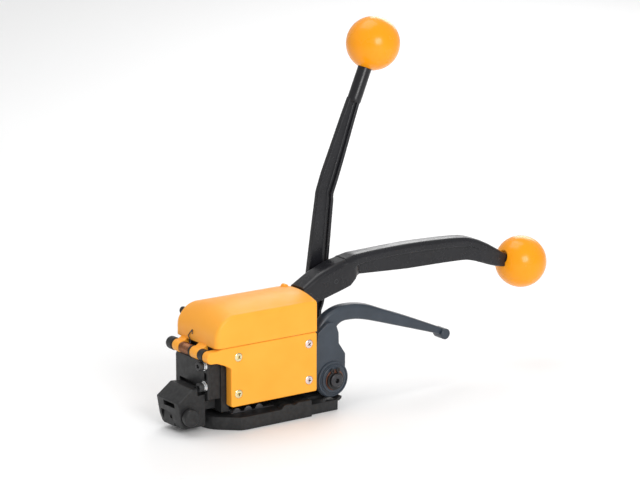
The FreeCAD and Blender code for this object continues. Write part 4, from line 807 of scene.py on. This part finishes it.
def tee_section(depth, web, flange, thick, soft):
    """T outline across a lever: web from the front at a = 0 back to the flange at a = depth.

    All corners are arcs, so every station has the same number of points.
    """
    return rounded([
        (0, -web, soft), (depth - thick - 1.4, -web, 1.6), (depth - thick, -web - 1.2, 0.9),
        (depth - thick, -flange, 0.8), (depth, -flange, min(thick * 0.8, 3)),
        (depth, flange, min(thick * 0.8, 3)), (depth - thick, flange, 0.8),
        (depth - thick, web + 1.2, 0.9), (depth - thick - 1.4, web, 1.6), (0, web, soft)], 5)


def tension_lever():
    """Upright lever: hub, foot, T-shaped bar bent at mid height and round neck into the ball."""
    front = [(59.4, 57), (67.9, 117), (73, 152.8), (78.7, 189.6), (85.0, 207),
             (107.8, 260), (114.6, 275)]
    rear = [(79.8, 57), (88.4, 132), (92.2, 171), (94, 189), (101.2, 206.8), (120.1, 259.8),
            (125.8, 275)]
    levels = np.array([57, 62, 82, 88, 94, 117, 135, 152.8, 171, 186, 189.2, 190.4, 193, 207,
                       225, 245, 260, 270, 275])
    front_x, rear_x = [np.interp(levels, [q[1] for q in edge], [q[0] for q in edge])
                       for edge in (front, rear)]
    slopes = np.interp(levels, [57, 186, 193, 280], [0.13, 0.15, 0.40, 0.43])
    flanges = np.interp(levels, [57, 84, 90, 230, 275], [4.1, 4.1, 7.4, 7.4, 6.5])
    depths = (rear_x - front_x) / np.hypot(1, slopes)
    stations = [(x, LEVER_MID, z + t * d * 0.45, 1.0, -t)
                for x, z, t, d in zip(front_x, levels, slopes, depths)]
    sections = [tee_section(d, 2.8, w, 3.4, 0.7) for d, w in zip(depths, flanges)]
    bar = beam(stations, sections)
    foot = [(49.8, 34.6), (73.8, 34.6), (79.6, 60), (57.2, 60)]
    foot_plate = slab(foot, 17.2, 22.2, edge=0.5)
    hub = rod(14.5, 17.2, 22.2, FEED_SPOT, edge=0.6)
    neck_low, ball = np.array((120.4, 272.6)), np.array((142.2, 324.2))
    along = (ball - neck_low) / np.linalg.norm(ball - neck_low)
    t = np.array([-1.0, -0.8, -0.3, 0.4, 3, 15, 34])
    radius = np.array([5.6, 5.9, 6.4, 6.6, 6.6, 6.6, 6.5])
    angles = np.linspace(0, 2 * math.pi, 48, endpoint=False)
    rings = []
    for s, r in zip(t, radius):
        spot = neck_low + along * s
        side = r * np.cos(angles)
        rings.append(np.stack([spot[0] + side * along[1], LEVER_MID + r * np.sin(angles),
                               spot[1] - side * along[0]], 1))
    neck = shell(np.array(rings))
    mesh_piece("tension_lever_bar", *join([bar, foot_plate, hub, neck]), ENAMEL,
               "tension_lever", "black_enamel", ["tension_handle"])


tension_lever()


def sealing_section(x, high, low, half, wall):
    """Outline across the sealing lever: a cap of one half width over a wall of another.

    The cap's corners are arcs nearly as large as half its width.  Ahead of x = 92 the walls stand
    each side of a deep channel; behind it the channel is only 0.4 deep and the wall is a web.
    """
    crest = min(half * 0.97, (high - low) * 0.46)
    split = high - max(crest + 0.4, (high - low) * 0.34)
    deep = min(118.5, high - 3.5) if x < 92 else low + 0.4
    under = min(7.0, half * 0.9, (high - low) * 0.45) if x > 250 else 0.8
    room = wall - 4.4 if wall > 7 else wall * 0.35
    inner = max(min(7.0, room), 1.0)
    return rounded([
        (-half, high, crest), (-half, split, 1.0), (-wall, split - 0.6, 0.3), (-wall, low, under),
        (-inner, low, 0.2), (-inner, deep, 0.2), (inner, deep, 0.2), (inner, low, 0.2),
        (wall, low, under), (wall, split - 0.6, 0.3), (half, split, 1.0), (half, high, crest)],
        10)


def respaced(outline, count):
    """The closed outline again, with count points at equal steps along it."""
    closed = np.concatenate([outline, outline[:1]])
    gaps = np.linalg.norm(np.diff(closed, axis=0), axis=1)
    run = np.concatenate([[0], np.cumsum(gaps)])
    want = np.linspace(0, run[-1], count, endpoint=False)
    return np.stack([np.interp(want, run, closed[:, k]) for k in range(2)], 1)


def sealing_lever():
    """Curved lever: channel at the front, round-topped flange over a thin web, tapered neck."""
    top = [(43.6, 112), (52, 118), (63, 124), (80, 130), (102, 135.2), (135, 136.4), (166, 137),
           (196, 136.2), (222, 134.9), (233, 133.8), (242, 131.4), (252, 127.8), (264, 121.4),
           (281, 111.5), (292, 105.5)]
    low = [(43.6, 93.5), (96.5, 107.6), (105, 115.2), (110, 115), (166, 112), (210, 111.4),
           (235, 110.6), (244, 109), (256, 104.6), (268, 100.4), (279, 98), (292, 95)]
    at = np.array([43.6, 48, 54, 60, 68, 76, 84, 91.9, 92.1, 96, 99, 102, 105, 108, 111, 114,
                   122, 135, 150, 166, 182, 196, 210, 222, 232, 238, 242, 245, 248, 252, 258,
                   264, 270, 276, 282, 288, 292.0])
    tops = np.interp(at, *np.array(top).T)
    tops = np.convolve(np.pad(tops, 1, mode="edge"), [0.2, 0.6, 0.2], "valid")
    lows = np.interp(at, *np.array(low).T)
    half = np.interp(at, [43.6, 88, 118, 240, 262, 282, 292], [11.5, 11.5, 8.5, 8.5, 7.8, 5.9, 5.5])
    web = np.interp(at, [43.6, 101, 111, 238, 247, 262, 282, 292],
                    [11.5, 11.5, 3.6, 3.6, 8.2, 7.8, 5.9, 5.5])
    web = np.minimum(web, half)
    outlines = [sealing_section(*station) for station in zip(at, tops, lows, half, web)]
    count = max(len(outline) for outline in outlines)
    made = []
    for x, outline in zip(at, outlines):
        if len(outline) != count:
            outline = respaced(outline, count)
        made.append(np.stack([np.full(count, x), outline[:, 0], outline[:, 1]], 1))
    mesh_piece("sealing_lever_bar", *join([shell(np.array(made))]), ENAMEL, "sealing_lever",
               "black_enamel", ["sealing_handle"])


def crank_pins():
    """Two cross pins, dimpled at their near ends, that hold the lever to the crank arm."""
    pins = []
    for x, z in ((50, 105), (79, 114)):
        pins.append(turned([(0, -11.3), (1.1, -11.3), (1.5, -11.0), (1.6, -11.62), (2.3, -11.62),
                            (2.3, 11.6), (0, 11.6)], (x, 0, z), count=32))
    mesh_piece("crank_cross_pins", *join(pins), DARK_STEEL, "sealing_lever", "steel",
               ["crank_pins"])


sealing_lever()
crank_pins()


def ball_knob(name, centre, towards, body, node, neck):
    """Ball knob with a small flat seat where the lever enters.

    The turned profile is a circle of BALL_RADIUS from the seat's rim to the far pole, with a
    shallow ring groove beside the seat.
    """
    start = math.asin((neck + 1.2) / BALL_RADIUS)
    turns = np.linspace(start, math.pi, 60)
    rim = -BALL_RADIUS * math.cos(start)
    profile = [(0, rim + 2.5), (neck + 0.1, rim + 2.5), (neck + 0.3, rim + 0.6),
               (neck + 0.8, rim + 0.1)]
    profile += [(BALL_RADIUS * math.sin(t), -BALL_RADIUS * math.cos(t)) for t in turns[:-1]]
    profile += [(0, BALL_RADIUS)]
    points, faces = turned(profile, (0, 0, 0), "z", 96)
    axis = Vector(towards).normalized()
    turn = Vector((0, 0, 1)).rotation_difference(axis).to_matrix()
    points = points @ np.array(turn).T + np.asarray(centre)
    mesh_piece(name, *join([(points, faces)]), MOULDING, body, "orange_knob", [node])


def slide_spring_coils():
    """Two return springs of the punch slide, built at one fixed length; the real ones shorten as it
    drops.

    Height rises evenly with t while the angle runs 2 pi (1.2 t + 7 (3t^2 - 2t^3)), so the wire is
    wound close at mid height and drawn out at both ends.
    """
    coil_radius, wire_radius, foot, rise = 2.9, 0.6, 28.9, 33.2
    t = np.linspace(0, 1, 300)
    turns = 2 * math.pi * (1.2 * t + 7.0 * (3 * t**2 - 2 * t**3))
    wound = [tube(np.stack([x + coil_radius * np.cos(turns), coil_radius * np.sin(turns),
                            foot + rise * t], 1), wire_radius, 8) for x in SLIDE_SPRING_ROWS]
    piece = mesh_piece("slide_spring_coils", *join(wound), COPPERED, "base", "spring_steel",
                       ["slide_springs"])
    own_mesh(piece)


slide_spring_coils()
ball_knob("sealing_ball", (305.6, 0, 98.5), (43.6, 0, -13.5), "sealing_lever",
          "sealing_knob", 6.2)
ball_knob("tension_ball", (142.2, LEVER_MID, 324.2), (24, 0, 56.7), "tension_lever",
          "tension_knob", 6.8)

# ------------------------------------------------------------------ frame nodes that stay
KEPT = {
    "frame": CASTING, "frame_bolts": DARK_STEEL, "gripper_plate": DARK_STEEL,
    "gripper_screws": DARK_STEEL, "lower_dies": DIE_STEEL, "guide_jaw_screw": CASTING,
    "cam_bushes": BRONZE, "rocker_pivot_pin": STEEL, "rocker_spring": COPPERED,
    "cam_shaft": STEEL, "sealing_cams": STEEL, "crank_arm": CASTING,
    "punch_slide": DARK_STEEL, "cam_shoe": STEEL, "sealing_punches": DARK_STEEL,
    "cutter_blade": STEEL, "shaft_bushes": BRONZE, "holding_pawl_pin": STEEL,
    "holding_pawl_spring": COPPERED, "handle_bush": BRONZE, "drive_pawl_pin": STEEL,
    "drive_pawl_spring": COPPERED, "feed_wheel": DARK_STEEL, "ratchet_wheel": DARK_STEEL,
    "feed_spacers": STEEL, "drive_pawl": DARK_STEEL, "holding_pawl": DARK_STEEL,
}
for name, material in KEPT.items():
    cad[name].data.materials.clear()
    cad[name].data.materials.append(material)


# ------------------------------------------------------------------ floor, light and camera
VIEW_HEADING, VIEW_PITCH = math.radians(35.2), math.radians(-13.5)
FLOOR_DROP = 0.0002


def studio():
    """White floor swept up into a backdrop, even white surroundings and plain colours.

    The sweep is a quarter circle of radius 2 along the line of sight, and the floor lies
    FLOOR_DROP below the base so that the two share no plane.
    """
    t = np.linspace(0, 1, 24)
    run = np.concatenate([[-6.0, 1.6], 1.6 + 2.0 * np.sin(t * math.pi / 2), [3.6]])
    rise = np.concatenate([[0, 0], 2.0 * (1 - np.cos(t * math.pi / 2)), [7.0]])
    side = np.array([-6.0, 6.0])
    ahead = np.array((math.sin(VIEW_HEADING), math.cos(VIEW_HEADING)))
    right = np.array((math.cos(VIEW_HEADING), -math.sin(VIEW_HEADING)))
    points = [(*(ahead * a + right * b), c - FLOOR_DROP) for a, c in zip(run, rise) for b in side]
    faces = [[2 * i, 2 * i + 1, 2 * i + 3, 2 * i + 2] for i in range(len(run) - 1)]
    mesh = bpy.data.meshes.new("floor")
    mesh.from_pydata(points, [], faces)
    mesh.shade_smooth()
    floor = bpy.data.objects.new("floor", mesh)
    bpy.context.scene.collection.objects.link(floor)
    white = Finish("floor_white", (0.93, 0.93, 0.93), 0.7)
    floor.data.materials.append(white.material)
    world = bpy.data.worlds.new("studio")
    bpy.context.scene.world = world
    world.use_nodes = True
    world.node_tree.nodes["Background"].inputs[0].default_value = (1, 1, 1, 1)
    world.node_tree.nodes["Background"].inputs[1].default_value = 0.6
    bpy.context.scene.view_settings.view_transform = "Standard"


def lamp(name, spot, aim, size, power):
    """Square soft light aimed at a point."""
    light = bpy.data.lights.new(name, "AREA")
    light.shape = "SQUARE"
    light.size = size
    light.energy = power
    thing = bpy.data.objects.new(name, light)
    bpy.context.scene.collection.objects.link(thing)
    thing.location = spot
    thing.rotation_euler = (Vector(aim) - Vector(spot)).to_track_quat("-Z", "Y").to_euler()


def camera():
    """Long lens at the viewing distance, looking down by 13.5 degrees."""
    data = bpy.data.cameras.new("view")
    data.lens = 157.5
    data.sensor_width = 36
    data.clip_end = 50
    thing = bpy.data.objects.new("view", data)
    bpy.context.scene.collection.objects.link(thing)
    thing.location = (-1.3640, -2.0311, 0.7490)
    ahead = Vector((math.sin(VIEW_HEADING) * math.cos(VIEW_PITCH),
                    math.cos(VIEW_HEADING) * math.cos(VIEW_PITCH), math.sin(VIEW_PITCH)))
    thing.rotation_euler = ahead.to_track_quat("-Z", "Y").to_euler()
    bpy.context.scene.camera = thing


studio()
lamp("key", (-0.3, -2.0, 0.95), (0.05, 0, 0.1), 0.9, 26)
lamp("overhead", (0.0, 0.5, 1.9), (0.05, 0, 0.1), 1.3, 12)
lamp("rear", (1.5, 1.2, 1.0), (0.05, 0, 0.15), 1.0, 10)
camera()
